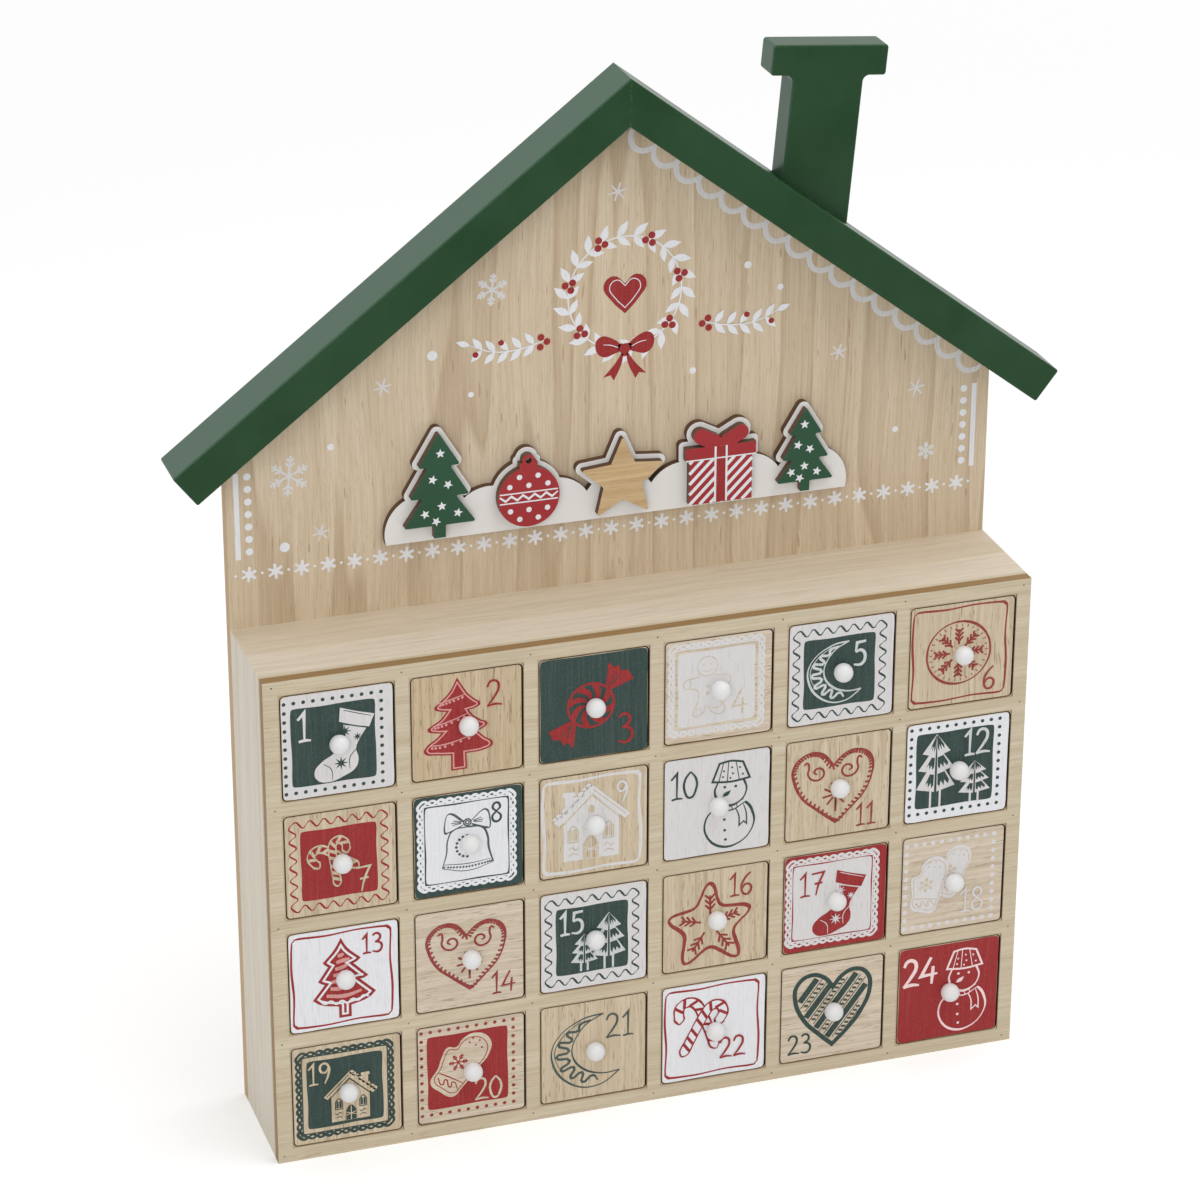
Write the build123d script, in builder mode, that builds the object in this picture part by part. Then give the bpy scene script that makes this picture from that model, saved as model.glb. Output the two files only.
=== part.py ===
"""Wooden advent calendar in the shape of a gabled house, with one small drawer for each day.

Millimetres, +Z up. The front faces -Y, and the origin lies under the middle of the whole object.
"""

import os
from math import cos, pi, radians, sin, tan

from build123d import *

os.makedirs("parts", exist_ok=True)

# Face frame: one thin board with a round-cornered window for each drawer
columns = 6
rows = 4
window_size = 43.0
window_corner = 2.0
bar_width = 6.0
frame_thickness = 6.0

# Cabinet: mitred boards around a grid of cross-lapped shelves and dividers
board_thickness = 6.0
cabinet_depth = 42.0
divider_thickness = 4.0
slot_clearance = 0.1

# House panel: its wall above the cabinet, up to the eaves, and its gable
panel_thickness = 6.0
wall_height = 68.0
roof_slope = 37.6

# Roof battens, mitred at the ridge and flush with the panel's back
roof_thickness = 14.5
roof_reach = 15.0
roof_overhang = 17.0
paint_round = 0.8

# Chimney, leaning away from the ridge
chimney_offset = 74.7
chimney_lean = 5.0
chimney_width = 27.6
chimney_height = 48.4
chimney_thickness = 12.0
cap_width = 45.0
cap_height = 11.5
cap_round = 1.2
neck_round = 2.5

# Drawers: a front that is flush with the face frame, and a box of thin boards behind it
drawer_gap = 0.5
drawer_edge = 0.2
drawer_wall = 3.0
drawer_side_clearance = 0.3
drawer_running_gap = 0.2
drawer_headroom = 7.0
drawer_back_gap = 1.5

# Knobs: a ball seated on the front, with a peg glued into it
knob_diameter = 7.4
knob_centre = 2.4
peg_diameter = 3.0
peg_length = 4.0
peg_clearance = 0.05

# Cut-out ornaments on the panel: a white backing layer and a coloured layer in front
ply_thickness = 3.0
halo_width = 1.8
ornament_rise = 29.0
ornament_spacing = 9.0
ornament_round = 0.6
hill_count = 7
hill_diameter = 30.0
hill_rise = 17.0
hill_overhang = 7.0
tall_tree_width = 28.0
tall_tree_height = 42.0
short_tree_width = 23.0
short_tree_height = 34.0
bauble_diameter = 24.0
bauble_cap_width = 7.0
bauble_cap_height = 3.5
bauble_ring_diameter = 5.0
bauble_ring_hole = 2.4
star_diameter = 35.0
gift_width = 25.0
gift_height = 18.0
lid_height = 5.0
lid_overhang = 1.5
bow_length = 12.0
bow_width = 6.0
bow_tilt = 28.0

# Outlines of the ornaments, as shares of each one's width and height
tree_shares = (
    (0.00, 1.00),
    (0.29, 0.68),
    (0.15, 0.68),
    (0.41, 0.39),
    (0.22, 0.39),
    (0.50, 0.12),
    (0.08, 0.12),
    (0.08, 0.00),
)
star_inner_share = 0.46
star_points = 5

# Sizes that follow from these
pitch = window_size + bar_width
inner_width = columns * pitch - bar_width
inner_height = rows * pitch - bar_width
cabinet_width = inner_width + 2 * board_thickness
cabinet_height = inner_height + 2 * board_thickness
half_width = cabinet_width / 2

knob_reach = knob_centre + knob_diameter / 2
total_depth = knob_reach + frame_thickness + cabinet_depth + panel_thickness
face_y = knob_reach - total_depth / 2
cabinet_y = face_y + frame_thickness
panel_y = cabinet_y + cabinet_depth
back_y = panel_y + panel_thickness

slope = radians(roof_slope)
eave_height = cabinet_height + wall_height
apex_height = eave_height + half_width * tan(slope)
ridge_height = apex_height + roof_thickness / cos(slope)


def front_plane(y):
    """A plane that is seen from the front, so that boards grow backwards from it."""
    return Plane.XZ.offset(-y)


def write(piece, name):
    """Label a finished piece and write it to its own file."""
    piece.label = name
    export_step(piece, f"parts/{name}.step")


# Face frame
with BuildPart() as face_frame:
    with BuildSketch(front_plane(face_y)):
        with Locations((0, cabinet_height / 2)):
            Rectangle(cabinet_width, cabinet_height)
            with GridLocations(pitch, pitch, columns, rows):
                RectangleRounded(window_size, window_size, window_corner, mode=Mode.SUBTRACT)
    extrude(amount=-frame_thickness)
write(face_frame.part, "face_frame")

# Cabinet top and bottom boards, mitred into the sides
with BuildPart() as cabinet_rails:
    with BuildSketch(front_plane(cabinet_y)):
        for outer, inner in ((0, board_thickness), (cabinet_height, cabinet_height - board_thickness)):
            with BuildLine():
                Polyline(
                    (-half_width, outer),
                    (half_width, outer),
                    (half_width - board_thickness, inner),
                    (board_thickness - half_width, inner),
                    close=True,
                )
            make_face()
    extrude(amount=-cabinet_depth)
write(cabinet_rails.part, "cabinet_rails")

# Cabinet side boards
with BuildPart() as cabinet_sides:
    with BuildSketch(front_plane(cabinet_y)):
        for side in (-1, 1):
            with BuildLine():
                Polyline(
                    (side * half_width, 0),
                    (side * half_width, cabinet_height),
                    (side * (half_width - board_thickness), cabinet_height - board_thickness),
                    (side * (half_width - board_thickness), board_thickness),
                    close=True,
                )
            make_face()
    extrude(amount=-cabinet_depth)
write(cabinet_sides.part, "cabinet_sides")

# Shelves, level with the window sills and slotted from the back for the dividers
slot_width = divider_thickness + slot_clearance
slot_depth = cabinet_depth / 2
sill_heights = [board_thickness + row * pitch for row in range(1, rows)]
with BuildPart() as shelves:
    for sill in sill_heights:
        with BuildSketch(Plane.XY.offset(sill - divider_thickness)):
            with Locations((0, cabinet_y)):
                Rectangle(inner_width, cabinet_depth, align=(Align.CENTER, Align.MIN))
            with Locations((0, cabinet_y + slot_depth)), GridLocations(pitch, cabinet_depth, columns - 1, 1):
                Rectangle(slot_width, slot_depth, align=(Align.CENTER, Align.MIN), mode=Mode.SUBTRACT)
        extrude(amount=divider_thickness)

# Dividers, behind the upright bars of the face frame and slotted from the front for the shelves
with BuildPart() as dividers:
    for column in range(1, columns):
        bar_middle = column * pitch - bar_width / 2 - inner_width / 2
        with BuildSketch(Plane.YZ.offset(bar_middle - divider_thickness / 2)):
            with Locations((cabinet_y, board_thickness)):
                Rectangle(cabinet_depth, inner_height, align=(Align.MIN, Align.MIN))
            for sill in sill_heights:
                with Locations((cabinet_y, sill - divider_thickness / 2)):
                    Rectangle(slot_depth, slot_width, align=(Align.MIN, Align.CENTER), mode=Mode.SUBTRACT)
        extrude(amount=divider_thickness)
write(Compound(children=[shelves.part, dividers.part]), "divider_grid")

# House panel, from the floor to the roof behind the cabinet
with BuildPart() as house_panel:
    with BuildSketch(front_plane(panel_y)):
        with BuildLine():
            Polyline(
                (-half_width, 0),
                (half_width, 0),
                (half_width, eave_height),
                (0, apex_height),
                (-half_width, eave_height),
                close=True,
            )
        make_face()
    extrude(amount=-panel_thickness)
write(house_panel.part, "house_panel")

# Right roof batten, square at its lower end and plumb at the ridge
roof_length = half_width / cos(slope) + roof_overhang
eave_end = (roof_length * cos(slope), apex_height - roof_length * sin(slope))
eave_top = (eave_end[0] + roof_thickness * sin(slope), eave_end[1] + roof_thickness * cos(slope))
with BuildPart() as roof_right:
    with BuildSketch(front_plane(panel_y - roof_reach)):
        with BuildLine():
            Polyline((0, apex_height), eave_end, eave_top, (0, ridge_height), close=True)
        make_face()
    extrude(amount=-(roof_reach + panel_thickness))
    ridge_mitre = roof_right.faces().sort_by(Axis.X)[0]
    fillet(roof_right.edges() - ridge_mitre.edges(), paint_round)
write(roof_right.part, "roof_right")

# Left roof batten
with BuildPart() as roof_left:
    mirror(roof_right.part, about=Plane.YZ)
write(roof_left.part, "roof_left")

# Chimney: an upright outline of stack and cap, set leaning on the roof and cut to its slope
with BuildSketch() as chimney_outline:
    with Locations((0, -chimney_width)):
        Rectangle(chimney_width, chimney_height + chimney_width, align=(Align.CENTER, Align.MIN))
    with Locations((0, chimney_height)):
        Rectangle(cap_width, cap_height, align=(Align.CENTER, Align.MIN))
    under_cap = chimney_outline.vertices().group_by(Axis.Y)[1].sort_by(Axis.X)
    fillet(under_cap[1:3], neck_round)
    cap_corners = chimney_outline.vertices().filter_by(lambda v: abs(v.X) > cap_width / 2 - cap_round)
    fillet(cap_corners, cap_round)
chimney_foot = (chimney_offset, ridge_height - chimney_offset * tan(slope))
with BuildPart() as chimney:
    with BuildSketch(front_plane(back_y - chimney_thickness)):
        with Locations(Location(chimney_foot, -chimney_lean)):
            add(chimney_outline.sketch)
        with Locations(Location(chimney_foot, -roof_slope)):
            Rectangle(2 * cap_width, cap_width, align=(Align.CENTER, Align.MAX), mode=Mode.SUBTRACT)
    extrude(amount=-chimney_thickness)
    foot_face = chimney.faces().sort_by(Axis.Z)[0]
    broad_faces = chimney.faces().filter_by(Axis.Y)
    fillet(broad_faces.edges() - foot_face.edges(), paint_round)
write(chimney.part, "chimney")

# Drawer front, with a blind hole for the knob's peg
front_size = window_size - 2 * drawer_gap
with BuildPart() as drawer_front:
    with BuildSketch(front_plane(face_y)):
        RectangleRounded(front_size, front_size, window_corner - drawer_gap)
    extrude(amount=-frame_thickness)
    chamfer(drawer_front.faces().sort_by(Axis.Y)[0].edges(), drawer_edge)
    with Locations(front_plane(face_y)):
        Hole(peg_diameter / 2 + peg_clearance, depth=peg_length + peg_clearance)

# Drawer box: its square corners pass the rounded corners of the window
box_width = window_size - 2 * (window_corner + drawer_side_clearance)
box_height = window_size - drawer_headroom
box_length = cabinet_depth - drawer_back_gap
box_floor = drawer_running_gap - window_size / 2
inside_width = box_width - 2 * drawer_wall
inside_length = box_length - drawer_wall
with BuildPart() as drawer_sides:
    with BuildSketch(Plane.XY.offset(box_floor)):
        with Locations((0, cabinet_y)), GridLocations(box_width - drawer_wall, box_length, 2, 1):
            Rectangle(drawer_wall, box_length, align=(Align.CENTER, Align.MIN))
    extrude(amount=box_height)

with BuildPart() as drawer_back:
    with BuildSketch(Plane.XY.offset(box_floor)):
        with Locations((0, cabinet_y + inside_length)):
            Rectangle(inside_width, drawer_wall, align=(Align.CENTER, Align.MIN))
    extrude(amount=box_height)

with BuildPart() as drawer_bottom:
    with BuildSketch(Plane.XY.offset(box_floor)):
        with Locations((0, cabinet_y)):
            Rectangle(inside_width, inside_length, align=(Align.CENTER, Align.MIN))
    extrude(amount=drawer_wall)

# Knob: a ball flattened where it sits on the front, and its peg
with BuildPart() as knob:
    with BuildSketch():
        with Locations((0, face_y - knob_centre)):
            Circle(knob_diameter / 2)
        with Locations((0, face_y)):
            Rectangle(
                knob_diameter,
                knob_diameter + knob_centre,
                align=(Align.MIN, Align.MAX),
                mode=Mode.INTERSECT,
            )
            Rectangle(peg_diameter / 2, peg_length, align=(Align.MIN, Align.MIN))
    revolve(axis=Axis.Y)

# One drawer and one knob in each bay, counted along the rows from the top left
drawer_boards = (drawer_front, drawer_sides, drawer_back, drawer_bottom)
for number in range(1, columns * rows + 1):
    row, column = divmod(number - 1, columns)
    bay_x = (column - (columns - 1) / 2) * pitch
    bay_z = cabinet_height / 2 + ((rows - 1) / 2 - row) * pitch
    bay = Location((bay_x, 0, bay_z))
    drawer = Compound(children=[board.part.moved(bay) for board in drawer_boards])
    write(drawer, f"drawer_{number:02d}")
    write(knob.part.moved(bay), f"knob_{number:02d}")


def fir_tree(width, height):
    """A three-tiered fir tree that stands on its trunk."""
    with BuildSketch() as outline:
        with BuildLine():
            Polyline(*[(x * width, z * height) for x, z in tree_shares], (0, 0))
            mirror(about=Plane.YZ)
        make_face()
        fillet(outline.vertices().filter_by(lambda v: v.Y > 0), ornament_round)
    return outline.sketch


def bauble():
    """A ball with its cap and hanging ring."""
    with BuildSketch() as outline:
        with Locations((0, bauble_diameter / 2)):
            Circle(bauble_diameter / 2)
        with Locations((0, bauble_diameter + bauble_cap_height / 2)):
            Rectangle(bauble_cap_width, 2 * bauble_cap_height, align=(Align.CENTER, Align.MAX))
        with Locations((0, bauble_diameter + bauble_ring_diameter / 2)):
            Circle(bauble_ring_diameter / 2)
            Circle(bauble_ring_hole / 2, mode=Mode.SUBTRACT)
    return outline.sketch


def star():
    """A five-pointed star that stands on two of its points."""
    outer = star_diameter / 2
    corners = []
    for step in range(2 * star_points):
        reach = outer if step % 2 == 0 else outer * star_inner_share
        turn = step * pi / star_points
        corners.append((reach * sin(turn), reach * cos(turn) + outer * cos(pi / star_points)))
    with BuildSketch() as outline:
        with BuildLine():
            Polyline(*corners, close=True)
        make_face()
        fillet(outline.vertices(), ornament_round)
    return outline.sketch


def gift():
    """A parcel with a lid and the two loops of a bow."""
    lid_top = gift_height + lid_height
    with BuildSketch() as outline:
        Rectangle(gift_width, gift_height, align=(Align.CENTER, Align.MIN))
        with Locations((0, gift_height)):
            Rectangle(gift_width + 2 * lid_overhang, lid_height, align=(Align.CENTER, Align.MIN))
        for side in (-1, 1):
            with Locations((side * bow_length * cos(radians(bow_tilt)) / 2, lid_top + bow_width / 2)):
                SlotOverall(bow_length, bow_width, rotation=side * bow_tilt)
    return outline.sketch


# The row of ornaments, from left to right
ornament_row = (
    ("green", fir_tree(tall_tree_width, tall_tree_height)),
    ("red", bauble()),
    ("natural", star()),
    ("red", gift()),
    ("green", fir_tree(short_tree_width, short_tree_height)),
)
ornament_widths = [outline.bounding_box().size.X for colour, outline in ornament_row]
row_length = sum(ornament_widths) + ornament_spacing * (len(ornament_row) - 1)
ornament_z = cabinet_height + ornament_rise
ornament_places = []
row_edge = -row_length / 2
for width in ornament_widths:
    ornament_places.append((row_edge + width / 2, ornament_z))
    row_edge += width + ornament_spacing

# White backing layer: snow hills with a rim around each ornament
halos = [offset(outline, amount=halo_width) for colour, outline in ornament_row]
backing_length = row_length + 2 * hill_overhang
hill_pitch = (backing_length - hill_diameter) / (hill_count - 1)
with BuildPart() as ornament_backing:
    with BuildSketch(front_plane(panel_y - ply_thickness)):
        with Locations((0, ornament_z + hill_rise - hill_diameter / 2)):
            with GridLocations(hill_pitch, hill_diameter, hill_count, 1):
                Circle(hill_diameter / 2)
        with Locations((0, ornament_z - halo_width)):
            Rectangle(backing_length, hill_diameter, align=(Align.CENTER, Align.MIN), mode=Mode.INTERSECT)
        for halo, place in zip(halos, ornament_places):
            with Locations(place):
                add(halo)
    extrude(amount=-ply_thickness)
write(ornament_backing.part, "ornament_backing")

# Coloured layer in front of it
for colour in ("red", "green", "natural"):
    with BuildPart() as ornaments:
        with BuildSketch(front_plane(panel_y - 2 * ply_thickness)):
            for (paint, outline), place in zip(ornament_row, ornament_places):
                if paint == colour:
                    with Locations(place):
                        add(outline)
        extrude(amount=-ply_thickness)
    write(ornaments.part, f"ornaments_{colour}")
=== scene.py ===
"""Looks of the wooden advent calendar: bare wood, paint, screen prints, floor, light and camera.

Metres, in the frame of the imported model: the front faces -Y and +Z is up.
"""

from math import atan2, cos, hypot, pi, radians, sin

import bpy
from mathutils import Matrix, Vector


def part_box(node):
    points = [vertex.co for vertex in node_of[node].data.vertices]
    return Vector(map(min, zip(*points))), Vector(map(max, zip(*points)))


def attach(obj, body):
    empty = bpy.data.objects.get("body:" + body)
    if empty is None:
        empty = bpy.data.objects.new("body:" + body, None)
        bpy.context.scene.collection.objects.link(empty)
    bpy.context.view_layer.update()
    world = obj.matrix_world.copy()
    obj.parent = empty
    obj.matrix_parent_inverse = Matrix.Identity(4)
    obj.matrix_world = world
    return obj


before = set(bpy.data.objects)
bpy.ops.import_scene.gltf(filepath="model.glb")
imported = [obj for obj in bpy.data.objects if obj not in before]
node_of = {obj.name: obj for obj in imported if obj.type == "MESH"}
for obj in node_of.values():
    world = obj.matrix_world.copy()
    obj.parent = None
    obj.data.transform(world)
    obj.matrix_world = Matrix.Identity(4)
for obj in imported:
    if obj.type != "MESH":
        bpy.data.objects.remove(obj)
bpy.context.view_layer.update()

# House panel: one board of pale veneer behind the cabinet, with its grain upright.
# Its sawn edges show the darker core, and it is only lightly sealed.
mm = 0.001
black = (0, 0, 0, 1)
white = (1, 1, 1, 1)


def colour(red, green, blue):
    """A colour named as on a screen, in the linear values that a shader takes."""
    shares = [level / 255 for level in (red, green, blue)]
    return (*[s / 12.92 if s <= 0.04045 else ((s + 0.055) / 1.055) ** 2.4 for s in shares], 1)


def grey(level):
    """A plain grey, for the marks of a ramp that only lightens or darkens."""
    return (level, level, level, 1)


def add_node(finish, kind, inputs=None, **settings):
    """One shader node, with its settings and with values or other nodes' outputs as its inputs."""
    tree = finish.node_tree
    made = tree.nodes.new("ShaderNode" + kind)
    for setting, value in settings.items():
        setattr(made, setting, value)
    for socket, value in (inputs or {}).items():
        if isinstance(value, bpy.types.NodeSocket):
            tree.links.new(value, made.inputs[socket])
        else:
            made.inputs[socket].default_value = value
    return made


def new_finish(name):
    """An empty material and its surface shader."""
    finish = bpy.data.materials.new(name)
    finish.use_nodes = True
    return finish, finish.node_tree.nodes["Principled BSDF"]


def link(finish, output, shader, socket):
    """Lead a node's output into the surface shader."""
    finish.node_tree.links.new(output, shader.inputs[socket])


def math(finish, operation, first, second=0.0):
    """One sum on two numbers."""
    return add_node(finish, "Math", {0: first, 1: second}, operation=operation).outputs[0]


def vectors(finish, operation, *values, output="Vector"):
    """One sum on vectors."""
    return add_node(finish, "VectorMath", dict(enumerate(values)), operation=operation).outputs[output]


def parts(finish, vector):
    """The X, Y and Z of a vector."""
    return add_node(finish, "SeparateXYZ", {"Vector": vector}).outputs


def noise(finish, place, width, detail):
    """Cloudy noise with spots of one width, from 0 to 1."""
    inputs = {"Vector": place, "Scale": 1 / width, "Detail": detail}
    return add_node(finish, "TexNoise", inputs).outputs["Fac"]


def stops(finish, factor, *marks):
    """A colour ramp from its marks, each a place and a colour."""
    ramp = add_node(finish, "ValToRGB", {"Fac": factor})
    elements = ramp.color_ramp.elements
    for (place, shade), element in zip(marks, [elements[0], elements[1]]):
        element.position = place
        element.color = shade
    for place, shade in marks[2:]:
        elements.new(place).color = shade
    return ramp.outputs["Color"]


def mixed(finish, factor, first, second, blend="MIX"):
    """Two colours mixed by a factor."""
    sockets = {0: factor, 6: first, 7: second}
    return add_node(finish, "Mix", sockets, data_type="RGBA", blend_type=blend).outputs[2]


def spread(finish, value, low, high):
    """A number between 0 and 1, spread between two others."""
    return add_node(finish, "MapRange", {"Value": value, "To Min": low, "To Max": high}).outputs["Result"]


def object_place(finish):
    """Where a point lies on the object, in metres."""
    return add_node(finish, "TexCoord").outputs["Object"]


def facing(finish):
    """The way that a face looks."""
    return add_node(finish, "NewGeometry").outputs["Normal"]


def surface(finish, shader, tone, roughness, height, bump, gloss):
    """Lead a tone, a roughness and a height into the shader, and set its gloss."""
    link(finish, tone, shader, "Base Color")
    link(finish, roughness, shader, "Roughness")
    relief = add_node(finish, "Bump", {"Height": height, **bump}).outputs["Normal"]
    link(finish, relief, shader, "Normal")
    shader.inputs["Specular IOR Level"].default_value = gloss
    return finish


# Strands of the grain: how far each is drawn out along it, as a share, and how fine its noise is
drift_length = 90 * mm
drift_reach = 5 * mm
drift_detail = 1.0
ring_count = 6.0
ring_strand = (0.05, 0.8)
streak_strand = (0.02, 3.0)
fibre_width = 0.6 * mm
fibre_strand = (0.016, 3.0)
pore_width = 0.4 * mm
pore_strand = (0.06, 1.0)
fleck_width = 1.3 * mm
fleck_strand = (0.12, 0.0)


def grain(finish, place, axis, widths):
    """Growth rings, streaks, fibres, pores and flecks that run along one axis, each from 0 to 1."""
    ring_width, streak_width = widths
    drift = {"Vector": place, "Scale": 1 / drift_length, "Detail": drift_detail}
    wander = add_node(finish, "TexNoise", drift).outputs["Color"]
    drifted = vectors(finish, "MULTIPLY_ADD", wander, [drift_reach] * 3, place)

    def strands(width, strand):
        """Noise of one width across the grain, drawn out along it."""
        along_share, detail = strand
        stretch = [1.0, 1.0, 1.0]
        stretch["XYZ".index(axis)] = along_share
        drawn = add_node(finish, "Mapping", {"Vector": drifted, "Scale": stretch}).outputs["Vector"]
        return noise(finish, drawn, width, detail)

    bands = math(finish, "MULTIPLY", strands(ring_width, ring_strand), ring_count)
    rings = math(finish, "FRACT", bands)
    streaks = strands(streak_width, streak_strand)
    fibres = strands(fibre_width, fibre_strand)
    pores = strands(pore_width, pore_strand)
    return rings, streaks, fibres, pores, strands(fleck_width, fleck_strand)


# Marks of the ramps that turn the grain into tones
streak_marks = ((0.36, black), (0.64, white))
ring_levels = ((0.10, 0), (0.72, 0.4), (0.93, 1.0), (0.985, 0))
fibre_marks = ((0.34, (0.88, 0.86, 0.83, 1)), (0.60, white))
pore_start, pore_end = 0.30, 0.38
fleck_marks = ((0.17, grey(0.7)), (0.21, black))
wood_roughness = (0.50, 0.70)
wood_bump = {"Strength": 0.14, "Distance": 0.3 * mm}
wood_gloss = 0.3
turned_share = 0.6
any_depth = 1.0


def sawn_mask(finish, depth=any_depth):
    """1 on faces that turn away from the front and back, no deeper than a given Y."""
    frontal = math(finish, "ABSOLUTE", parts(finish, facing(finish))["Y"])
    turned = math(finish, "LESS_THAN", frontal, turned_share)
    near = math(finish, "LESS_THAN", parts(finish, object_place(finish))["Y"], depth)
    return math(finish, "MULTIPLY", turned, near)


def wood_finish(name, tones, axis, widths, strengths, edge=None, depth=any_depth, place_of=object_place):
    """Bare wood with its grain along one axis, and a colour of its own on sawn edges."""
    pale, middle, dark = [colour(*levels) for levels in tones]
    ring_strength, pore_strength = strengths
    finish, shader = new_finish(name)
    rings, streaks, fibres, pores, flecks = grain(finish, place_of(finish), axis, widths)
    tone = mixed(finish, stops(finish, streaks, *streak_marks), middle, pale)
    ring_marks = [(place, grey(level * ring_strength)) for place, level in ring_levels]
    tone = mixed(finish, stops(finish, rings, *ring_marks), tone, dark)
    fibre_tone = stops(finish, fibres, *fibre_marks)
    tone = mixed(finish, 1.0, tone, fibre_tone, "MULTIPLY")
    pore_marks = ((pore_start, grey(pore_strength)), (pore_end, black))
    tone = mixed(finish, stops(finish, pores, *pore_marks), tone, dark)
    tone = mixed(finish, stops(finish, flecks, *fleck_marks), tone, dark)
    if edge:
        sawn = mixed(finish, 1.0, edge, fibre_tone, "MULTIPLY")
        tone = mixed(finish, sawn_mask(finish, depth), tone, sawn)
    roughness = spread(finish, fibres, *wood_roughness)
    return surface(finish, shader, tone, roughness, fibres, wood_bump, wood_gloss)


def dress(node, finish):
    """Give a node of the model its finish."""
    node_of[node].data.materials.clear()
    node_of[node].data.materials.append(finish)


panel_tones = ((217, 200, 174), (210, 191, 163), (172, 145, 114))
panel_core = colour(196, 168, 130)
panel_widths = (26 * mm, 3.8 * mm)
panel_strengths = (0.5, 0.4)
panel_veneer = wood_finish("panel_veneer", panel_tones, "Z", panel_widths, panel_strengths, edge=panel_core)
dress("house_panel", panel_veneer)

# Roof battens and chimney: softwood, sanded round at the edges and sprayed with satin green paint.
# Handling has rubbed the edges a little lighter, and faces that look up and left carry a painted sheen.
edge_radius = 1.2 * mm
peel_width = 0.8 * mm
peel_detail = 2.0
blotch_width = 25 * mm
blotch_detail = 3.0
bevel_samples = 4
painted_sheen_side = (-1.0, 0, 0.5)
edge_marks = ((0.90, white), (0.995, black))
speck_marks = ((0.50, black), (0.66, white))
blotch_marks = ((0.3, black), (0.75, grey(0.3)))
painted_sheen_marks = ((0.3, black), (0.95, white))
smoother, rougher = 0.06, 0.08
paint_bump = {"Strength": 0.10, "Distance": 0.1 * mm}
paint_gloss = 0.35


def paint_finish(name, shade, rubbed, rough, gloss=paint_gloss, painted_sheen=None):
    """Sprayed paint with orange peel, blotches, rubbed edges and, where asked, a painted sheen on one side.
    """
    finish, shader = new_finish(name)
    place = object_place(finish)
    blotch = noise(finish, place, blotch_width, blotch_detail)
    peel = noise(finish, place, peel_width, peel_detail)
    rounded = add_node(finish, "Bevel", {"Radius": edge_radius}, samples=bevel_samples).outputs["Normal"]
    flat = facing(finish)
    alike = vectors(finish, "DOT_PRODUCT", rounded, flat, output="Value")
    edges = stops(finish, alike, *edge_marks)
    worn = mixed(finish, 1.0, edges, stops(finish, peel, *speck_marks), "MULTIPLY")
    tone = mixed(finish, stops(finish, blotch, *blotch_marks), shade, rubbed)
    # Painted sheen: faces that look up and left are mixed to a lighter tone, standing in for the light they
    # reflect
    if painted_sheen:
        lit = vectors(finish, "DOT_PRODUCT", flat, painted_sheen_side, output="Value")
        tone = mixed(finish, stops(finish, lit, *painted_sheen_marks), tone, painted_sheen)
    tone = mixed(finish, worn, tone, rubbed)
    roughness = spread(finish, blotch, rough - smoother, rough + rougher)
    return surface(finish, shader, tone, roughness, peel, paint_bump, gloss)


roof_green = colour(20, 60, 26)
rubbed_green = colour(60, 92, 68)
# Lighter green for the painted sheen on faces that look up and left
painted_sheen_green = colour(67, 96, 77)
roof_rough = 0.30
roof_gloss = 0.2
green_paint = paint_finish("green_paint", roof_green, rubbed_green, roof_rough, roof_gloss, painted_sheen_green)
for node in ("roof_left", "roof_right", "chimney"):
    dress(node, green_paint)

# Screen prints: thin coats of ink on the panel, the cut-outs and the drawer fronts, drawn in millimetres.
# Every ink on one face is a piece of its own, laid over the coats that were printed before it.
coat_depth = 0.04
weld_length = 0.0005 * mm
curve_steps = 4
hair = 0.35
fine = 0.55
plain = 0.85
firm = 1.05
bold = 1.25
broad = 1.6
stroke_start_share = 0.8
stroke_end_share = 0.6

# Look of the ink: its weave, and where the wood's fibres and pores show through it
ink_widths = (20 * mm, 2.2 * mm)
weave_width = 0.45 * mm
weave_detail = 2.0
thin_start, thin_end = 0.48, 0.72
weave_start, weave_end = 0.50, 0.68
ink_pore_start, ink_pore_end = 0.30, 0.42
ink_pore_share = 0.4
ink_roughness = (0.52, 0.70)
ink_bump = {"Strength": 0.12, "Distance": 0.3 * mm}
ink_gloss = 0.25


def ink_finish(name, shade, through, wear):
    """Thin matt ink with a fine weave, and with the fibres of the wood showing through it."""
    finish, shader = new_finish(name)
    place = object_place(finish)
    rings, streaks, fibres, pores, flecks = grain(finish, place, "Z", ink_widths)
    weave = noise(finish, place, weave_width, weave_detail)
    thin = stops(finish, fibres, (thin_start, black), (thin_end, grey(wear)))
    tone = mixed(finish, thin, shade, through)
    open_weave = stops(finish, weave, (weave_start, black), (weave_end, grey(wear)))
    tone = mixed(finish, open_weave, tone, through)
    dim = grey(1 - ink_pore_share * wear)
    pore_tone = stops(finish, pores, (ink_pore_start, dim), (ink_pore_end, white))
    tone = mixed(finish, 1.0, tone, pore_tone, "MULTIPLY")
    roughness = spread(finish, streaks, *ink_roughness)
    return surface(finish, shader, tone, roughness, fibres, ink_bump, ink_gloss)


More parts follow.
